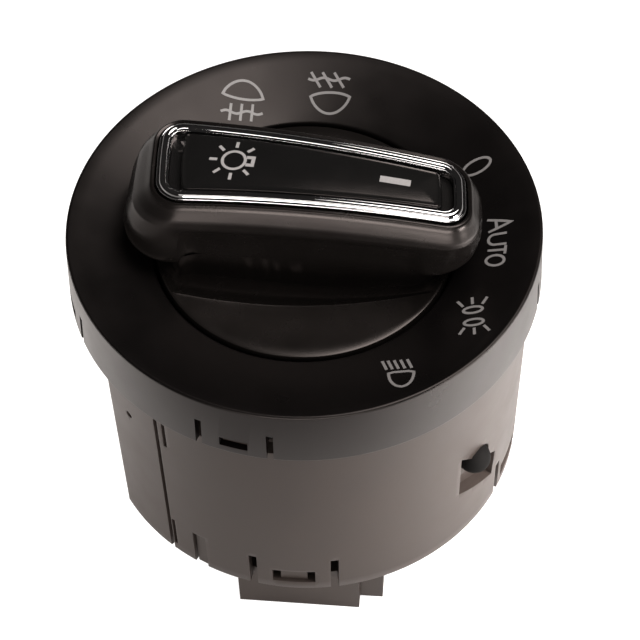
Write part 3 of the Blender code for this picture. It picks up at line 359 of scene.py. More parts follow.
def carved(piece, shape, operation="DIFFERENCE"):
    """Takes a shape out of the piece, or adds it, and keeps the result as the piece's mesh."""
    tool = make_object("tool", shape)
    change = piece.modifiers.new("change", "BOOLEAN")
    change.operation = operation
    change.object = tool
    change.solver = "EXACT"
    settle(piece)
    bpy.data.objects.remove(tool)


def settle(piece, sharp=30):
    """Turns the piece's modifiers into its mesh."""
    graph = bpy.context.evaluated_depsgraph_get()
    mesh = bpy.data.meshes.new_from_object(piece.evaluated_get(graph))
    piece.modifiers.clear()
    piece.data = mesh
    mesh.shade_smooth()
    mesh.set_sharp_from_angle(angle=math.radians(sharp))


def fitted(piece, body, slot, *replaced):
    """Makes the piece ride on its body in place of CAD nodes."""
    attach(piece, body)
    if replaced:
        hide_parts(*replaced)


def housing_wall():
    """Wall, deck and bearing as one solid of revolution, with many rows on the wall for even shading."""
    wall, deck_foot = HOUSING_RADIUS, DECK_LEVEL - DECK_THICKNESS
    top, foot = COLLAR_TOP - TOP_CHAMFER, COVER_LEVEL + FOOT_CHAMFER
    profile = [(wall - TOP_CHAMFER, COLLAR_TOP)]
    profile += [(wall, top + (foot - top) * row / WALL_ROWS) for row in range(WALL_ROWS + 1)]
    profile += [(wall - 0.09, COVER_LEVEL + 0.09), (wall - FOOT_CHAMFER, COVER_LEVEL),
                (HOUSING_INNER, COVER_LEVEL), (HOUSING_INNER, deck_foot), (BEARING_RADIUS, deck_foot),
                (BEARING_RADIUS, BEARING_FOOT), (BEARING_INNER, BEARING_FOOT), (BEARING_INNER, DECK_LEVEL),
                (HOUSING_INNER, DECK_LEVEL), (HOUSING_INNER, COLLAR_TOP)]
    return make_object("housing_moulding", turned(profile), NYLON_BLACK)


def flatten_side(housing, middle):
    """Flat on the wall, with the wall's thickness kept behind it."""
    half = math.acos((FLAT_DISTANCE - HOUSING_WALL) / middle)
    segment = [polar(middle, half * (step / 10 - 1)) for step in range(21)]
    backing = lofted([[(x, y, z) for x, y, _ in segment] for z in (COVER_LEVEL + 0.01, DECK_LEVEL - 1)])
    beyond = box((FLAT_DISTANCE, 40), (-40, 40), (COVER_LEVEL - 1, SKIRT_LEVEL - 0.3))
    carved(housing, spun(backing, FLAT_ANGLE), "UNION")
    carved(housing, spun(beyond, FLAT_ANGLE))


def add_latch_guide(housing, middle, angle):
    """Block with the latch's bore, and the window in front of it with its patch of wall."""
    guide = box((GUIDE_START, middle), (-GUIDE_HALF, GUIDE_HALF),
                (LATCH_LEVEL - GUIDE_HALF, LATCH_LEVEL + GUIDE_HALF))
    carved(housing, spun(guide, angle), "UNION")
    carved(housing, spun(box(*WINDOW_PATCH), angle), "UNION")
    window = [[(x, y, LATCH_LEVEL + z) for y, z in LATCH_WINDOW] for x in (HOUSING_INNER - 0.3, 39)]
    carved(housing, spun(lofted(window), angle))
    carved(housing, radial_rod(angle, LATCH_BORE, GUIDE_START + 1.8, 39, LATCH_LEVEL))


def wall_cuts():
    """Slits, notches, vent and light pipe holes. They run a little past both faces of the wall."""
    near, far = HOUSING_INNER - 0.3, HOUSING_RADIUS + 0.4
    cuts = []
    for centre, half_width in REAR_TONGUES:
        for side in (-1, 1):
            cuts.append(radial_box(centre + side * half_width, near, far, REAR_SLIT_WIDTH,
                                   COVER_LEVEL - 1, COVER_LEVEL + 9.2))
        cuts.append(radial_box(centre, near, far, REAR_WINDOW_WIDTH, COVER_LEVEL + 2.2, COVER_LEVEL + 5.8))
    for angle, width, low, high in WALL_SLITS:
        cuts.append(radial_box(angle, near, far, width, low, high))
    cuts.append(radial_box(GROOVE_ANGLE, HOUSING_RADIUS - GROOVE_DEPTH, far, GROOVE_WIDTH,
                           COVER_LEVEL - 1, SKIRT_LEVEL - 0.3))
    cuts.append(radial_rod(math.radians(VENT_ANGLE), VENT_RADIUS, near, far, RIM_LEVEL - 20, 24))
    for centre in SKIRT_TONGUES:
        for side in (-1, 1):
            cuts.append(radial_box(centre + side * SKIRT_TONGUE_HALF, near, far, POCKET_WIDTH,
                                   SKIRT_LEVEL - 0.6, SKIRT_LEVEL + 6.2))
    for angle in PIPE_ANGLES:
        hole = [polar(PIPE_HOLE, 2 * math.pi * step / 24) for step in range(24)]
        x, y, _ = polar(PIPE_PLACE, math.radians(angle))
        cuts.append(lofted([[(x + a, y + b, z) for a, b, _ in hole]
                            for z in (DECK_LEVEL - 3, DECK_LEVEL + 1)]))
    return cuts


def make_housing():
    """Housing wall, deck and bearing, with its windows, slots and latch guides."""
    housing = housing_wall()
    middle = HOUSING_RADIUS - HOUSING_WALL / 2
    flatten_side(housing, middle)
    for angle in LATCH_ANGLES.values():
        add_latch_guide(housing, middle, angle)
    carved(housing, joined(wall_cuts()))
    hooks = [radial_box(centre, middle, HOOK_REACH, HOOK_WIDTH, SKIRT_LEVEL + 1.8, SKIRT_LEVEL + 2.7)
             for centre in SKIRT_TONGUES]
    carved(housing, joined(hooks), "UNION")
    soften = housing.modifiers.new("edges", "BEVEL")
    soften.width = EDGE_WIDTH
    soften.segments = 2
    soften.angle_limit = math.radians(40)
    settle(housing)
    fitted(housing, "housing", "housing_black", "main_housing")


make_housing()


# Release latches: matt black acetal slides with a round nose, pressed outwards by a coil spring.
# They catch behind the dashboard's opening, one on each side.
LATCH_RADIUS = 2.8
LATCH_REACH = 40.0
LATCH_START = 26.5
LATCH_SPRING_BORE = 1.9
LATCH_BORE_END = 35.7
DOME_STEPS = 12
# The turned outline stays off the axis by this much, because turned() makes rings
AXIS_GAP = 0.02
# Almost without highlights, because the photograph shows the nose nearly black
ACETAL_BLACK = moulded_plastic("matt_acetal_black", "#0E0E0E", "#131313", 1.48, 0.7,
                               0.3 * MM, 0.01 * MM, 0.04)


def make_latch(side, angle):
    """Slide with a domed nose and a bore from behind for its spring."""
    dome = []
    for step in range(1, DOME_STEPS + 1):
        bend = math.pi / 2 * step / DOME_STEPS
        dome.append((LATCH_RADIUS * math.sin(bend), LATCH_REACH - LATCH_RADIUS * (1 - math.cos(bend))))
    outline = dome + [(LATCH_RADIUS, LATCH_START + 0.1), (LATCH_RADIUS - 0.1, LATCH_START),
                      (LATCH_SPRING_BORE, LATCH_START), (LATCH_SPRING_BORE, LATCH_BORE_END),
                      (AXIS_GAP, LATCH_BORE_END), (AXIS_GAP, LATCH_REACH)]
    points, faces = turned(outline, 64)
    points = [(z, y, LATCH_LEVEL - x) for x, y, z in points]
    latch = make_object(f"latch_slide_{side}", spun((points, faces), angle), ACETAL_BLACK)
    fitted(latch, f"latch_{side}", "latch_black", f"release_latch_{side}")


for latch_side, latch_angle in LATCH_ANGLES.items():
    make_latch(latch_side, latch_angle)


# Front bezel: dished face and skirt in one moulding of black ABS with a fine eroded grain. Its skirt
# snaps over hooks on the housing with slit tongues.
FACE_RADIUS = 39.0
SKIRT_RADIUS = 39.6
SKIRT_INNER = 38.3
FACE_HOLE = 25.3
FACE_LIP = 26.8
DISH_DEPTH = 4.0
DISC_LEVEL = RIM_LEVEL - DISH_DEPTH
FACE_THICKNESS = 2.0
SLIT_WIDTH = 1.1
WINDOW_WIDTH = 4.6
SKIRT_CUT = (37.9, 40)
# Deep black with a soft wide sheen
ABS_BLACK = moulded_plastic("grained_abs_black", "#0A0909", "#0F0D0D", 1.54, 0.3, 0.3 * MM, 0.006 * MM, 0.27)


def dish_level(radius):
    """Height of the dished face at a radius."""
    return DISC_LEVEL + DISH_DEPTH * (radius - FACE_HOLE - 0.4) / (FACE_RADIUS - FACE_HOLE - 0.8)


def rounded(corner, start, end, steps=4):
    """Points that round a corner off between two points, as a quadratic bend."""
    bend = []
    for step in range(steps + 1):
        share = step / steps
        bend.append(tuple((1 - share) ** 2 * a + 2 * share * (1 - share) * b + share ** 2 * c
                          for a, b, c in zip(start, corner, end)))
    return bend


def make_bezel():
    """Face and skirt, with slits and windows for the snap hooks."""
    rim = rounded((FACE_RADIUS, RIM_LEVEL + 0.02), (FACE_RADIUS - 0.55, dish_level(FACE_RADIUS - 0.55)),
                  (FACE_RADIUS + 0.02, RIM_LEVEL - 0.5), 6)
    foot = rounded((SKIRT_RADIUS, SKIRT_LEVEL), (SKIRT_RADIUS - 0.01, SKIRT_LEVEL + 0.3),
                   (SKIRT_RADIUS - 0.3, SKIRT_LEVEL))
    hole = rounded((FACE_HOLE, dish_level(FACE_HOLE)), (FACE_HOLE, DISC_LEVEL - 0.7),
                   (FACE_HOLE + 0.5, dish_level(FACE_HOLE + 0.5)), 5)
    dish = [(radius, dish_level(radius)) for radius in (28.0, 31.0, 34.0, 36.5)]
    under = [(SKIRT_INNER, SKIRT_LEVEL), (SKIRT_INNER, dish_level(SKIRT_INNER) - FACE_THICKNESS),
             (FACE_LIP, dish_level(FACE_LIP) - FACE_THICKNESS), (FACE_LIP, DECK_LEVEL + 0.3),
             (FACE_HOLE, DECK_LEVEL + 0.3)]
    bezel = make_object("face_moulding", turned(rim + foot + under + hole + dish, 240), ABS_BLACK)
    cuts = []
    for centre in SKIRT_TONGUES:
        for side in (-1, 1):
            cuts.append(radial_box(centre + side * SKIRT_TONGUE_HALF, *SKIRT_CUT, SLIT_WIDTH,
                                   SKIRT_LEVEL - 1, SKIRT_LEVEL + 6.0))
        cuts.append(radial_box(centre, *SKIRT_CUT, WINDOW_WIDTH, SKIRT_LEVEL + 1.5, SKIRT_LEVEL + 3.4))
    carved(bezel, joined(cuts))
    settle(bezel, 25)
    fitted(bezel, "housing", "face_black", "front_bezel")


make_bezel()


# Marks on the face: pad-printed pale grey ink, a thin film on the moulding. The signs are the usual ones
# for the car's lamps, upright when the switch sits in the dashboard. Each has its own axes in millimetres.
INK_LINE = 0.46
INK_FILM = 0.03
STROKE_STEP = 0.7
SHARPEST_MITRE = 0.35


def printed_ink(name, dark, light):
    """Pad-printed ink: an even pale film with a soft sheen and slight pinholes."""
    material = blank_material(name)
    specks = add_noise(material, 0.4 * MM)
    links = {"Base Color": add_blend(material, specks, dark, light),
             "Normal": add_bump(material, specks, 0.3, 0.004 * MM)}
    return surfaced(material, links, {"Roughness": 0.35, "IOR": 1.7})


INK = printed_ink("pad_printed_grey_ink", "#838181", "#918F8F")


def arc(centre, radii, start, end, steps=20):
    """Points on an ellipse between two angles in degrees."""
    points = []
    for step in range(steps + 1):
        angle = math.radians(start + (end - start) * step / steps)
        points.append((centre[0] + radii[0] * math.cos(angle), centre[1] + radii[1] * math.sin(angle)))
    return points


def stroke(line, surface, width=INK_LINE, closed=False):
    """Thin closed ribbon along a line of flat points, laid on a surface with mitred corners."""
    dense = []
    ends = line[1:] + line[:1] if closed else line[1:]
    for (x0, y0), (x1, y1) in zip(line, ends):
        pieces = max(1, round(math.hypot(x1 - x0, y1 - y0) / STROKE_STEP))
        dense.extend((x0 + (x1 - x0) * part / pieces, y0 + (y1 - y0) * part / pieces)
                     for part in range(pieces))
    if not closed:
        dense.append(line[-1])
    count = len(dense)
    loops = []
    for index, point in enumerate(dense):
        before = Vector(dense[(index - 1) % count] if closed or index else point)
        after = Vector(dense[(index + 1) % count] if closed or index < count - 1 else point)
        here = Vector(point)
        into = (here - before).normalized() if (here - before).length else (after - here).normalized()
        out = (after - here).normalized() if (after - here).length else into
        side_in, side_out = Vector((-into.y, into.x)), Vector((-out.y, out.x))
        mitre = (side_in + side_out).normalized()
        reach = min(width / 2 / max(mitre.dot(side_in), SHARPEST_MITRE), width)
        left, right = here + mitre * reach, here - mitre * reach
        loops.append([surface(*left, INK_FILM), surface(*right, INK_FILM),
                      surface(*right, -INK_FILM), surface(*left, -INK_FILM)])
    return lofted(loops, closed)


def on_face(centre_angle, centre_radius, turn):
    """Surface for a mark: its own upright axes, set on the dished face."""
    cx, cy, _ = polar(centre_radius, math.radians(centre_angle))
    along = math.radians(turn)

    def surface(x, y, lift):
        px = cx + x * math.cos(along) - y * math.sin(along)
        py = cy + x * math.sin(along) + y * math.cos(along)
        return px, py, dish_level(math.hypot(px, py)) + lift
    return surface


def on_arc(centre_angle, centre_radius):
    """Surface for a word set round the knob."""
    def surface(x, y, lift):
        px, py, _ = polar(centre_radius + y, math.radians(centre_angle) - x / centre_radius)
        return px, py, dish_level(math.hypot(px, py)) + lift
    return surface


def wave(x, low, high, bends, swing):
    """Upright wavy line."""
    steps = 28
    return [(x + swing * math.sin(math.pi * bends * step / steps), low + (high - low) * step / steps)
            for step in range(steps + 1)]


def lens(dome, back, half_height):
    """Pointed lamp outline: a high bow on one side and a flat one on the other."""
    steps = 20
    places = [2 * step / steps - 1 for step in range(steps + 1)]
    front, rear = ([(bow * (1 - place * place) ** 0.75, half_height * place) for place in places]
                   for bow in (dome, back))
    return front + rear[-2:0:-1]


def rear_fog_mark():
    """Lamp with level beams through a wavy line."""
    surface = on_face(176.7, 31.85, -28.6)
    lean = 0.11
    line = [(x - lean * y, y) for x, y in wave(3.05, -3.5, 3.7, 4, -0.28)]
    shapes = [stroke(lens(-2.93, 0.58, 3.5), surface, closed=True), stroke(line, surface)]
    for y in (-1.87, 0.0, 1.87):
        shapes.append(stroke([(1.45 - lean * y, y), (4.65 - lean * y, y)], surface))
    return shapes


def front_fog_mark():
    """Lamp with falling beams through a wavy line."""
    surface = on_face(148.6, 30.3, -26.5)
    shapes = [stroke(lens(3.05, -0.85, 3.4), surface, closed=True),
              stroke(wave(-3.3, -4.0, 3.3, 4, 0.26), surface)]
    for y in (-1.8, 0.2, 2.25):
        shapes.append(stroke([(-1.75, y), (-4.55, y - 1.75)], surface))
    return shapes


def off_mark():
    """Upright nought."""
    surface = on_face(90, 32, 0)
    return [stroke(arc((-0.76, -0.16), (1.3, 2.45), 0, 348, 30), surface, closed=True)]


def auto_mark():
    """The automatic position's word, in plain strokes."""
    surface = on_arc(60, 32)
    letters = [[(-5.75, -1.75), (-4.4, 2.0), (-3.0, -1.75)], [(-5.2, -0.4), (-3.55, -0.4)],
               [(-2.3, 1.2), (-2.3, -0.75)] + arc((-1.2, -0.75), (1.1, 1.0), 180, 360, 12) + [(-0.1, 1.2)],
               [(0.25, 1.1), (1.95, 1.1)], [(1.1, 1.1), (1.1, -1.75)]]
    shapes = [stroke(letter, surface) for letter in letters]
    shapes.append(stroke(arc((3.3, -0.27), (1.1, 1.45), 0, 345, 26), surface, closed=True))
    return shapes


def side_lights_mark():
    """Two small lamps back to back, with rays."""
    surface = on_face(32.4, 32.6, -23.8)
    shapes = []
    for side in (-1, 1):
        shapes.append(stroke(arc((side * 1.4, 0), (0.7, 1.5), 0, 345, 24), surface, closed=True))
        rays = (((2.4, 1.5), (3.8, 2.35)), ((2.7, 0.0), (4.2, 0.0)), ((2.4, -1.5), (3.8, -2.35)))
        for start, end in rays:
            shapes.append(stroke([(side * start[0], start[1]), (side * end[0], end[1])], surface))
    return shapes


def low_beam_mark():
    """Lamp with five falling beams."""
    surface = on_face(4.3, 32.95, -24.3)
    lamp = [(0.2, -1.95)] + arc((0.3, 0), (3.1, 1.95), -90, 90, 18)
    lamp += [(0.2, 1.95), (-0.05, 1.2), (-0.05, -1.2)]
    shapes = [stroke(lamp, surface, closed=True)]
    for y in (-2.25, -1.35, -0.4, 0.6, 1.65):
        shapes.append(stroke([(-0.75, y), (-2.85, y - 0.68)], surface))
    return shapes


def make_face_marks():
    """All marks on the face as one print."""
    shapes = rear_fog_mark() + front_fog_mark() + off_mark() + auto_mark()
    shapes += side_lights_mark() + low_beam_mark()
    marks = make_object("face_marks", joined(shapes), INK)
    fitted(marks, "housing", "face_black")


make_face_marks()


# Knob: disc with finger scoops, bar grip and barrel in one moulding, in satin black. It turns with the
# rotor cup, pulls out for the fog lamps, and holds the plated frame and the panel in its top.
KNOB_ANGLE = math.radians(57.7)
KNOB_RADIUS = 24.7
DISC_DEPTH = 5.0
DISC_HOLLOW = 0.07
SCOOP_DEPTH = 1.7
SCOOP_WALL = 8.2
# Scoop's edge on the disc: distance from the middle line as a curve along the grip
SCOOP_CURVE = (14.15, 0.1333, 0.00527)
# Along the grip: where the scoop begins and is full, and where it fades and ends
SCOOP_RANGE = (-24.0, -19.0, 20.5, 23.6)
# Recess for the fingers: its half-width on the rim's level, how it widens with height, and how it and the
# scoop narrow along the grip
RECESS_WALL = 8.3
RECESS_FLARE = 0.146
WALL_TAPER = 0.043
RING_TOP = 13.05
RING_SLANT = 0.14
GRIP_ARCH = 0.005
# Grip outlines by height above the face's rim: left and right end, half-width at each, corner, slant
GRIP_SECTIONS = [
    (12.2, -24.15, 26.7, 9.2, 6.95, 4.6, RING_SLANT),
    (11.6, -24.65, 27.05, 9.6, 7.3, 4.95, 0.135),
    (10.4, -25.6, 27.6, 10.1, 7.75, 5.5, 0.125),
    (9.2, -26.5, 28.1, 10.6, 8.15, 6.0, 0.115),
    (8.0, -27.3, 28.4, 10.9, 8.4, 6.4, 0.1),
    (5.0, -28.5, 28.65, 11.7, 8.4, 7.2, 0.06),
    (2.8, -28.8, 28.5, 12.3, 8.3, 7.6, 0.03),
    (0.6, -28.7, 28.15, 12.5, 7.9, 7.5, 0.03),
    (-0.4, -28.3, 27.7, 12.2, 7.5, 7.2, 0.03),
]
# Ends, half-widths, corner and bow of the grip's root inside the disc
GRIP_ROOT = (-22.6, 22.9, 10.2, 6.6, 4.5, 0.0)
RING_OUTLINE = (-23.25, 25.8, 8.3, 6.05, 3.8)
END_STEPS = 4
CORNER_STEPS = 12
SIDE_STEPS = 40
FINGER_RANGE = (-19.6, 20.6)
FINGER_BLEND = 2.2
BARREL_RADIUS = 17.1
BARREL_INNER = 15.0
BARREL_LENGTH = 15.5
KEY_WIDTH = 2.8
# Soft black with broad highlights that follow the grip's bends
SATIN_BLACK = moulded_plastic("satin_knob_black", "#12100F", "#171514", 1.5, 0.26, 0.3 * MM, 0.004 * MM)


def bar_loop(left, right, left_width, right_width, corner, bow=0.35):
    """Outline of a tapered bar with round corners and bowed ends, from the left end round its near side."""
    left_width, right_width = max(left_width, 0.3), max(right_width, 0.3)
    slope = (right_width - left_width) / (right - left)
    near = []
    flat = left_width + slope * corner - corner
    for step in range(END_STEPS):
        near.append((left, -flat * step / END_STEPS))
    for step in range(CORNER_STEPS + 1):
        turn = math.pi / 2 * step / CORNER_STEPS
        near.append((left + corner * (1 - math.cos(turn)), -(flat + corner * math.sin(turn))))
    straight = right - left - 2 * corner
    for step in range(1, SIDE_STEPS):
        place = corner + straight * step / SIDE_STEPS
        near.append((left + place, -(left_width + slope * place)))
    flat = right_width - slope * corner - corner
    for step in range(CORNER_STEPS + 1):
        turn = math.pi / 2 * (1 - step / CORNER_STEPS)
        near.append((right - corner * (1 - math.cos(turn)), -(flat + corner * math.sin(turn))))
    for step in range(END_STEPS - 1, -1, -1):
        near.append((right, -flat * step / END_STEPS))
    middle = (left + right) / 2
    bowed = []
    for u, v in near:
        pull = max(0.0, abs(u - middle) / ((right - left) / 2) - 0.5) * 2
        shift = bow * pull * (1 - (v / max(left_width, right_width)) ** 2)
        bowed.append((u + (shift if u > middle else -shift), v))
    return bowed + [(u, -v) for u, v in bowed[-2:0:-1]]


def raised(loop, level, arch=GRIP_ARCH, slant=RING_SLANT):
    """The loop with slanted ends, at a height above the face's rim, falling away towards its ends."""
    return [(u - slant * v, v, RIM_LEVEL + level - arch * u * u / 2) for u, v in loop]


def smooth_step(low, high, value):
    """Eases from 0 to 1 between two values."""
    share = min(1.0, max(0.0, (value - low) / (high - low)))
    return share * share * (3 - 2 * share)


def section_at(level):
    """Grip outline sizes at a height, between the measured ones."""
    for above, below in zip(GRIP_SECTIONS, GRIP_SECTIONS[1:]):
        if level >= below[0]:
            share = (above[0] - level) / (above[0] - below[0])
            return [a + (b - a) * share for a, b in zip(above[1:], below[1:])]
    return list(GRIP_SECTIONS[-1][1:])


def finger_share(u):
    """How far the finger recess reaches in at a place along the grip."""
    low, high = FINGER_RANGE
    return smooth_step(low, low + FINGER_BLEND, u) * (1 - smooth_step(high - FINGER_BLEND, high, u))


def hollowed(outline, level, recess=1.0):
    """Bar outline drawn in to the recess's wall where the fingers go."""
    loop = []
    for u, v in outline:
        wall = RECESS_WALL - WALL_TAPER * u + RECESS_FLARE * max(-2.0, level)
        depth = max(0.0, abs(v) - wall) * finger_share(u) * recess
        loop.append((u, v - math.copysign(depth, v) if v else v))
    return loop


def grip_loop(level, recess):
    """Grip outline at a height."""
    *outline, slant = section_at(level)
    arch = GRIP_ARCH * min(1.0, max(0.0, level / 11))
    return raised(hollowed(bar_loop(*outline), level, recess), level, arch, slant)


def scoop_edge(u):
    """Distance from the knob's middle line to the edge of the scoop on the disc."""
    base, slope, bend = SCOOP_CURVE
    return base - slope * u - bend * u * u


def strips(count, base):
    """Strips across a loop whose far half mirrors its near half."""
    half = count // 2
    middle = [[base + step, base + step + 1, base + count - step - 1, base + count - step]
              for step in range(1, half - 1)]
    return [[base, base + 1, base + count - 1]] + middle + [[base + half - 1, base + half, base + half + 1]]


def ring_loop(inset):
    """Outline of the frame, drawn in by a distance."""
    left, right, left_width, right_width, corner = RING_OUTLINE
    return bar_loop(left + inset, right - inset, left_width - inset, right_width - inset,
                    max(corner - inset, 1.0))


def make_grip():
    """Bar grip from the seat of the frame down into the disc."""
    loops = [raised(ring_loop(-grow), level)
             for grow, level in ((0.3, 9.0), (0.3, 11.9), (0.38, 12.05), (0.72, 12.22), (0.86, 12.18))]
    levels = [12.05, 11.85, 11.6] + [11.2 - 0.4 * step for step in range(8)]
    levels += [8.2 - 0.15 * step for step in range(17)] + [5.0, 4.0, 2.8, 1.7, 0.6, 0.1, -0.2]
    loops += [grip_loop(level, 1 - smooth_step(6.0, 7.8, level)) for level in levels]
    left, right, left_width, right_width, corner, slant = GRIP_SECTIONS[-1][1:]
    for inset, level in ((0.05, -0.4), (0.35, -0.55), (1.2, -0.6)):
        outline = bar_loop(left + inset, right - inset, left_width - inset, right_width - inset,
                           corner - inset)
        loops.append(raised(hollowed(outline, level), level, 0.0, slant))
    root = bar_loop(*GRIP_ROOT)
    loops += [raised(hollowed(root, level), level, 0.0, slant) for level in (-0.6, -7.0)]
    points, faces = lofted(loops)
    count = len(loops[0])
    faces = faces[:-2] + strips(count, 0) + strips(count, len(points) - count)
    return points, faces


def make_disc():
    """Disc with a finger scoop on each side and its rim, in rows across the grip's direction."""
    top_radius = KNOB_RADIUS - 0.4
    rows = 120
    flat_steps, scoop_steps, inner_steps = 5, 14, 3
    begin, full, fade, end = SCOOP_RANGE
    points, faces = [], []
    row_length = 2 * (flat_steps + 1 + scoop_steps + inner_steps) + 1
    for row in range(1, rows):
        u = -top_radius * math.cos(math.pi * row / rows)
        reach = math.sqrt(top_radius ** 2 - u * u)
        edge = min(scoop_edge(u), reach)
        wall = min(SCOOP_WALL - WALL_TAPER * u, edge - 0.05)
        depth = SCOOP_DEPTH * min(1.0, (edge - wall) / 5.0)
        depth *= smooth_step(begin, full, u) * (1 - smooth_step(fade, end, u))
        side = [(reach + (edge - reach) * step / flat_steps, 0.0) for step in range(flat_steps)]
        side.append((edge + 0.25, 0.0) if reach - edge > 0.6 else (edge + (reach - edge) * 0.1, 0.0))
        for step in range(scoop_steps):
            share = step / scoop_steps
            fall = depth * math.sin(math.pi / 2 * min(1, share * 1.5)) if share else -0.05 * min(1, depth)
            side.append((edge + (wall - edge) * share, -fall))
        for step in range(inner_steps):
            side.append((wall * (1 - step / inner_steps), -depth * (1 - step / inner_steps)))
        side = [(v, drop - DISC_HOLLOW * (top_radius - math.hypot(u, v))) for v, drop in side]
        line = [(-v, drop) for v, drop in side] + [(0.0, side[-1][1])] + side[::-1]
        points.extend((u, v, DISC_LEVEL + drop) for v, drop in line)
    for row in range(rows - 2):
        for step in range(row_length - 1):
            start = row * row_length + step
            faces.append([start, start + 1, start + row_length + 1, start + row_length])
    last = (rows - 2) * row_length
    border = [row * row_length for row in range(rows - 1)]
    border += range(last + 1, last + row_length - 1)
    border += [row * row_length + row_length - 1 for row in range(rows - 2, -1, -1)]
    border += range(row_length - 2, 0, -1)
    previous = border
    for radius, drop in ((KNOB_RADIUS - 0.12, 0.1), (KNOB_RADIUS, 0.4), (KNOB_RADIUS, DISC_DEPTH)):
        current = []
        for index in border:
            u, v, z = points[index]
            scale = radius / math.hypot(u, v)
            current.append(len(points))
            points.append((u * scale, v * scale, (z if drop < 1 else DISC_LEVEL) - drop))
        count = len(border)
        for step in range(count):
            ahead = (step + 1) % count
            faces.append([previous[step], previous[ahead], current[ahead], current[step]])
        previous = current
    faces.append(previous)
    return points, faces


def make_knob():
    """Grip, disc, barrel and keys, which are one moulding."""
    under = DISC_LEVEL - DISC_DEPTH
    foot = under - BARREL_LENGTH
    barrel = turned([(BARREL_RADIUS, under + 0.5), (BARREL_RADIUS, foot), (BARREL_INNER, foot),
                     (BARREL_INNER, under + 0.5)], 120)
    keys = [radial_box(angle, 16.0, 18.3, KEY_WIDTH, under - 15.2, under + 0.2) for angle in (0, 180)]
    shape = joined([make_disc(), make_grip(), barrel] + keys)
    knob = make_object("knob_moulding", spun(shape, KNOB_ANGLE), SATIN_BLACK, 32)
    fitted(knob, "knob", "knob_black", "knob_body")


make_knob()


# Frame on the grip: one ABS moulding, chrome plated bright, pressed into the seat. A thin outer bead, a
# groove and a broad rounded bead throw the two bright lines.
def bright_chrome():
    """Decorative chrome on plastic: a mirror with the faint orange peel of the moulding under it."""
    material = blank_material("bright_chrome_plate")
    peel = add_noise(material, 0.8 * MM)
    links = {"Base Color": add_blend(material, peel, "#D0D0D1", "#DADADB"),
             "Roughness": add_gloss(material, peel, 0.03, 0.05, middle_only=False),
             "Normal": add_bump(material, peel, 0.1, 0.0005 * MM)}
    return surfaced(material, links, {"Metallic": 1.0})


# Distance in from the outer edge and drop below the top: outer bead, groove, broad bead, inner lip
RING_PROFILE = [
    (0.0, 2.8), (0.0, 0.78), (0.04, 0.65), (0.12, 0.57), (0.23, 0.56), (0.32, 0.62), (0.37, 0.7),
    (0.42, 0.62), (0.48, 0.46), (0.58, 0.25), (0.72, 0.1), (0.88, 0.02), (1.05, 0.0), (1.25, 0.02),
    (1.42, 0.1), (1.56, 0.23), (1.66, 0.38), (1.72, 0.48),
    (1.78, 0.44), (1.86, 0.44), (1.93, 0.52), (1.95, 0.66), (1.95, 2.8),
]


def make_frame():
    """Plated frame round the panel."""
    loops = [raised(ring_loop(inset), RING_TOP - drop) for inset, drop in RING_PROFILE]
    ring = make_object("plated_frame", spun(lofted(loops, closed=True), KNOB_ANGLE), bright_chrome(), 60)
    fitted(ring, "knob", "chrome", "chrome_trim")


make_frame()


# Panel in the frame: black polycarbonate, polished so that its highlights are tight, a raised pad with a
# low well at each end. The lamp sign and the pointer are printed on it in white.
PANEL_GLOSS = moulded_plastic("polished_polycarbonate_black", "#151515", "#1A1A1A", 1.585, 0.17,
                              0.5 * MM, 0.002 * MM)
PANEL_INSET = 2.0
PANEL_BASE = 10.3
PAD_TOP = 12.85
PAD_CROWN = 0.42
PAD_CROWN_REACH = 5.0
PAD_FLAT = 3.2
WELL_FLOOR = 10.9
# The pad's half-width at its left end, that end's place and how much the pad narrows along the grip
PAD_HALF = 6.0
PAD_LEFT = -19.25
PAD_TAPER = 0.0548


def pad_level(drawn_in):
    """Height of the slightly domed pad at a distance in from its edge."""
    return PAD_TOP - PAD_CROWN * (1 - min(drawn_in / PAD_CROWN_REACH, 1.0)) ** 2


def make_panel():
    """Panel with its raised pad."""
    left, right, left_width, right_width, _ = RING_OUTLINE

    def pad(drawn_in, level):
        well = PANEL_INSET + 2.0 + drawn_in
        side = PANEL_INSET + 0.3 + drawn_in
        return raised(bar_loop(left + well, right - well, left_width - side, right_width - side,
                               max(0.9 - drawn_in, 0.3), 0.45), level)
    loops = [raised(ring_loop(PANEL_INSET), level) for level in (PANEL_BASE, WELL_FLOOR)]
    loops += [pad(drawn_in, level) for drawn_in, level in (
        (-0.15, WELL_FLOOR), (0.0, WELL_FLOOR + 0.15), (0.05, PAD_TOP - 0.65), (0.1, PAD_TOP - 0.48),
        (0.22, PAD_TOP - 0.34), (0.4, PAD_TOP - 0.25))]
    loops += [pad(drawn_in, pad_level(drawn_in)) for drawn_in in (0.6, 1.0, 1.5, 2.0, 2.6, PAD_FLAT)]
    points, faces = lofted(loops)
    count = len(loops[0])
    faces = faces[:-2] + strips(count, 0) + strips(count, len(points) - count)
    panel = make_object("grip_panel", spun((points, faces), KNOB_ANGLE), PANEL_GLOSS, 40)
    fitted(panel, "knob", "panel_black", "insert_panel")


def on_panel(centre_u, centre_v):
    """Surface for a mark on the pad, in the grip's own axes."""
    def surface(x, y, lift):
        u, v = centre_u + x, centre_v + y
        along = u + RING_SLANT * v
        half_width = PAD_HALF - PAD_TAPER * (along - PAD_LEFT)
        level = pad_level(min(half_width - abs(v), PAD_FLAT))
        return u, v, RIM_LEVEL + level - GRIP_ARCH * along * along / 2 + lift
    return surface


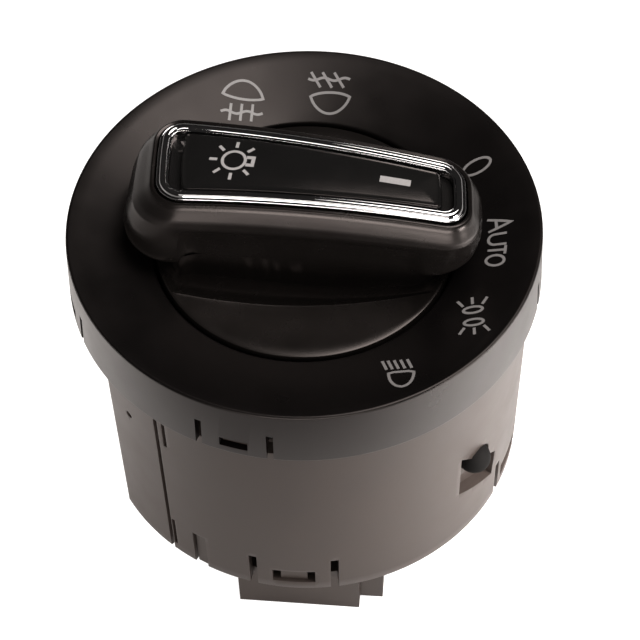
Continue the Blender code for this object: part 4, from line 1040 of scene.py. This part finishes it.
def make_panel_marks():
    """Lamp sign with rays and socket, and the pointer bar."""
    surface = on_panel(-11.1, 0.4)
    shapes = [stroke(arc((0, 0), (1.85, 1.85), 0, 345, 28), surface, 0.47, closed=True)]
    for step in range(1, 8):
        ray = [polar(reach, math.pi / 4 * step)[:2] for reach in (2.7, 4.0)]
        shapes.append(stroke(ray, surface, 0.52))
    shapes.append(stroke([(2.0, -0.78), (3.1, -0.78), (3.1, 0.78), (2.0, 0.78)], surface, 0.6))
    pointer = on_panel(14.85, 0.05)
    shapes.append(stroke([(-2.45, 0.0), (2.45, 0.0)], pointer, 1.28))
    white_ink = printed_ink("pad_printed_white_ink", "#ADABAB", "#C3C1C1")
    marks = make_object("panel_marks", spun(joined(shapes), KNOB_ANGLE), white_ink)
    fitted(marks, "knob", "panel_black")


make_panel()
make_panel_marks()


# Studio: a white sweep under the switch in a dim room, a broad softbox overhead to the right, a narrow one
# and a strip in front, one low at the right, and two small lamps that brighten the sweep beside the switch.
VIEW_AZIMUTH = math.radians(68.0)
PLAIN_WHITE = (1, 1, 1, 1)
SWEEP_GLOW = 0.8
SWEEP_REACH = 3000
SWEEP_LEVEL = -0.05
SWEEP_THICKNESS = 0.95
ROOM_TINT = "#FFF8F4"
LAMP_TINT = (1.0, 0.94, 0.9)


def white_sweep():
    """Matt paper that glows white for the camera alone and keeps a soft shadow."""
    material = blank_material("white_sweep")
    paper = add_blend(material, add_noise(material, 3 * MM), "#A8A8A8", "#ACACAC")
    matt = add_node(material, "ShaderNodeBsdfDiffuse", {"Color": paper})
    path = add_node(material, "ShaderNodeLightPath")
    strength = add_node(material, "ShaderNodeMath", {0: path.outputs["Is Camera Ray"]}, {1: SWEEP_GLOW},
                        operation="MULTIPLY")
    glow = add_node(material, "ShaderNodeEmission", {"Strength": strength.outputs[0]},
                    {"Color": PLAIN_WHITE})
    both = add_node(material, "ShaderNodeAddShader", {0: matt.outputs[0], 1: glow.outputs[0]})
    add_node(material, "ShaderNodeOutputMaterial", {"Surface": both.outputs[0]})
    return material


floor = make_object("studio_floor", box((-SWEEP_REACH, SWEEP_REACH), (-SWEEP_REACH, SWEEP_REACH),
                                        (SWEEP_LEVEL - SWEEP_THICKNESS, SWEEP_LEVEL)), white_sweep())


def dim_room():
    """World: plain grey light, a dark room in reflections and white behind the object."""
    room = bpy.data.worlds.new("dim_room")
    room.use_nodes = True
    room.node_tree.nodes.clear()
    path = add_node(room, "ShaderNodeLightPath")
    grey = add_node(room, "ShaderNodeBackground", None, {"Color": colour(ROOM_TINT), "Strength": 0.15})
    dark = add_node(room, "ShaderNodeBackground", None, {"Color": colour(ROOM_TINT), "Strength": 0.02})
    white = add_node(room, "ShaderNodeBackground", None, {"Color": PLAIN_WHITE, "Strength": 1.0})
    mirrored = add_node(room, "ShaderNodeMixShader",
                        {0: path.outputs["Is Glossy Ray"], 1: grey.outputs[0], 2: dark.outputs[0]})
    shown = add_node(room, "ShaderNodeMixShader",
                     {0: path.outputs["Is Camera Ray"], 1: mirrored.outputs[0], 2: white.outputs[0]})
    add_node(room, "ShaderNodeOutputWorld", {"Surface": shown.outputs[0]})
    bpy.context.scene.world = room


dim_room()


def softbox(name, place, size, radiance, target=(0, 0, 0.05)):
    """Area lamp that looks at the switch. Places are in metres, with y away from the camera.

    Blender takes an area lamp's watts as four times its radiance times its area.
    """
    light = bpy.data.lights.new(name, "AREA")
    light.shape = "RECTANGLE"
    light.size, light.size_y = size
    light.energy = 4 * radiance * size[0] * size[1]
    light.color = LAMP_TINT
    lamp = bpy.data.objects.new(name, light)
    turn = Matrix.Rotation(VIEW_AZIMUTH, 3, "Z")
    lamp.location = turn @ Vector(place)
    aim = turn @ (Vector(target) - Vector(place))
    lamp.rotation_euler = aim.to_track_quat("-Z", "Y").to_euler()
    bpy.context.scene.collection.objects.link(lamp)


softbox("softbox_overhead", (0.34, 0.07, 0.95), (0.72, 0.64), 4.4)
softbox("softbox_front", (0.0, -0.85, 0.55), (1.1, 0.1), 4.5)
softbox("softbox_strip", (0.0, -0.9, 0.1), (0.8, 0.16), 8.0)
softbox("softbox_low_right", (0.75, -0.42, 0.06), (0.3, 0.12), 18.0)
softbox("softbox_floor_right", (0.13, -0.06, 0.07), (0.12, 0.12), 17.0, (0.13, -0.06, 0.0))
softbox("softbox_floor_left", (-0.15, 0.0, 0.07), (0.12, 0.12), 9.0, (-0.15, 0.0, 0.0))


# Camera: its angles in degrees, its distance from the middle of the face's rim, and how far it is moved
# across and down in its own picture, in millimetres.
CAMERA_ELEVATION = 53.158
CAMERA_ROLL = 1.407
CAMERA_LENS = 106.875
CAMERA_DISTANCE = 310.714
CAMERA_ACROSS = 2.6247
CAMERA_BELOW = 16.288


def photo_camera():
    """Camera that sees the switch as the photograph does."""
    view = bpy.data.cameras.new("photo_camera")
    view.sensor_width = 36.0
    view.lens = CAMERA_LENS
    view.clip_start = 0.01
    camera = bpy.data.objects.new("photo_camera", view)
    bpy.context.scene.collection.objects.link(camera)
    elevation, roll = math.radians(CAMERA_ELEVATION), math.radians(CAMERA_ROLL)
    forward = Vector((0, math.cos(elevation), -math.sin(elevation)))
    down = Vector((0, -math.sin(elevation), -math.cos(elevation)))
    level = Vector((1, 0, 0))
    across = math.cos(roll) * level + math.sin(roll) * down
    below = -math.sin(roll) * level + math.cos(roll) * down
    swing = Matrix.Rotation(VIEW_AZIMUTH, 3, "Z")
    facing = Matrix((swing @ across, swing @ -below, swing @ -forward)).transposed()
    spot = Vector((0, 0, RIM_LEVEL)) - (swing @ forward) * CAMERA_DISTANCE
    spot = spot + (swing @ across) * CAMERA_ACROSS + (swing @ below) * CAMERA_BELOW
    camera.matrix_world = Matrix.Translation(spot * MM) @ facing.to_4x4()
    bpy.context.scene.camera = camera


photo_camera()
bpy.context.scene.view_settings.view_transform = "Standard"
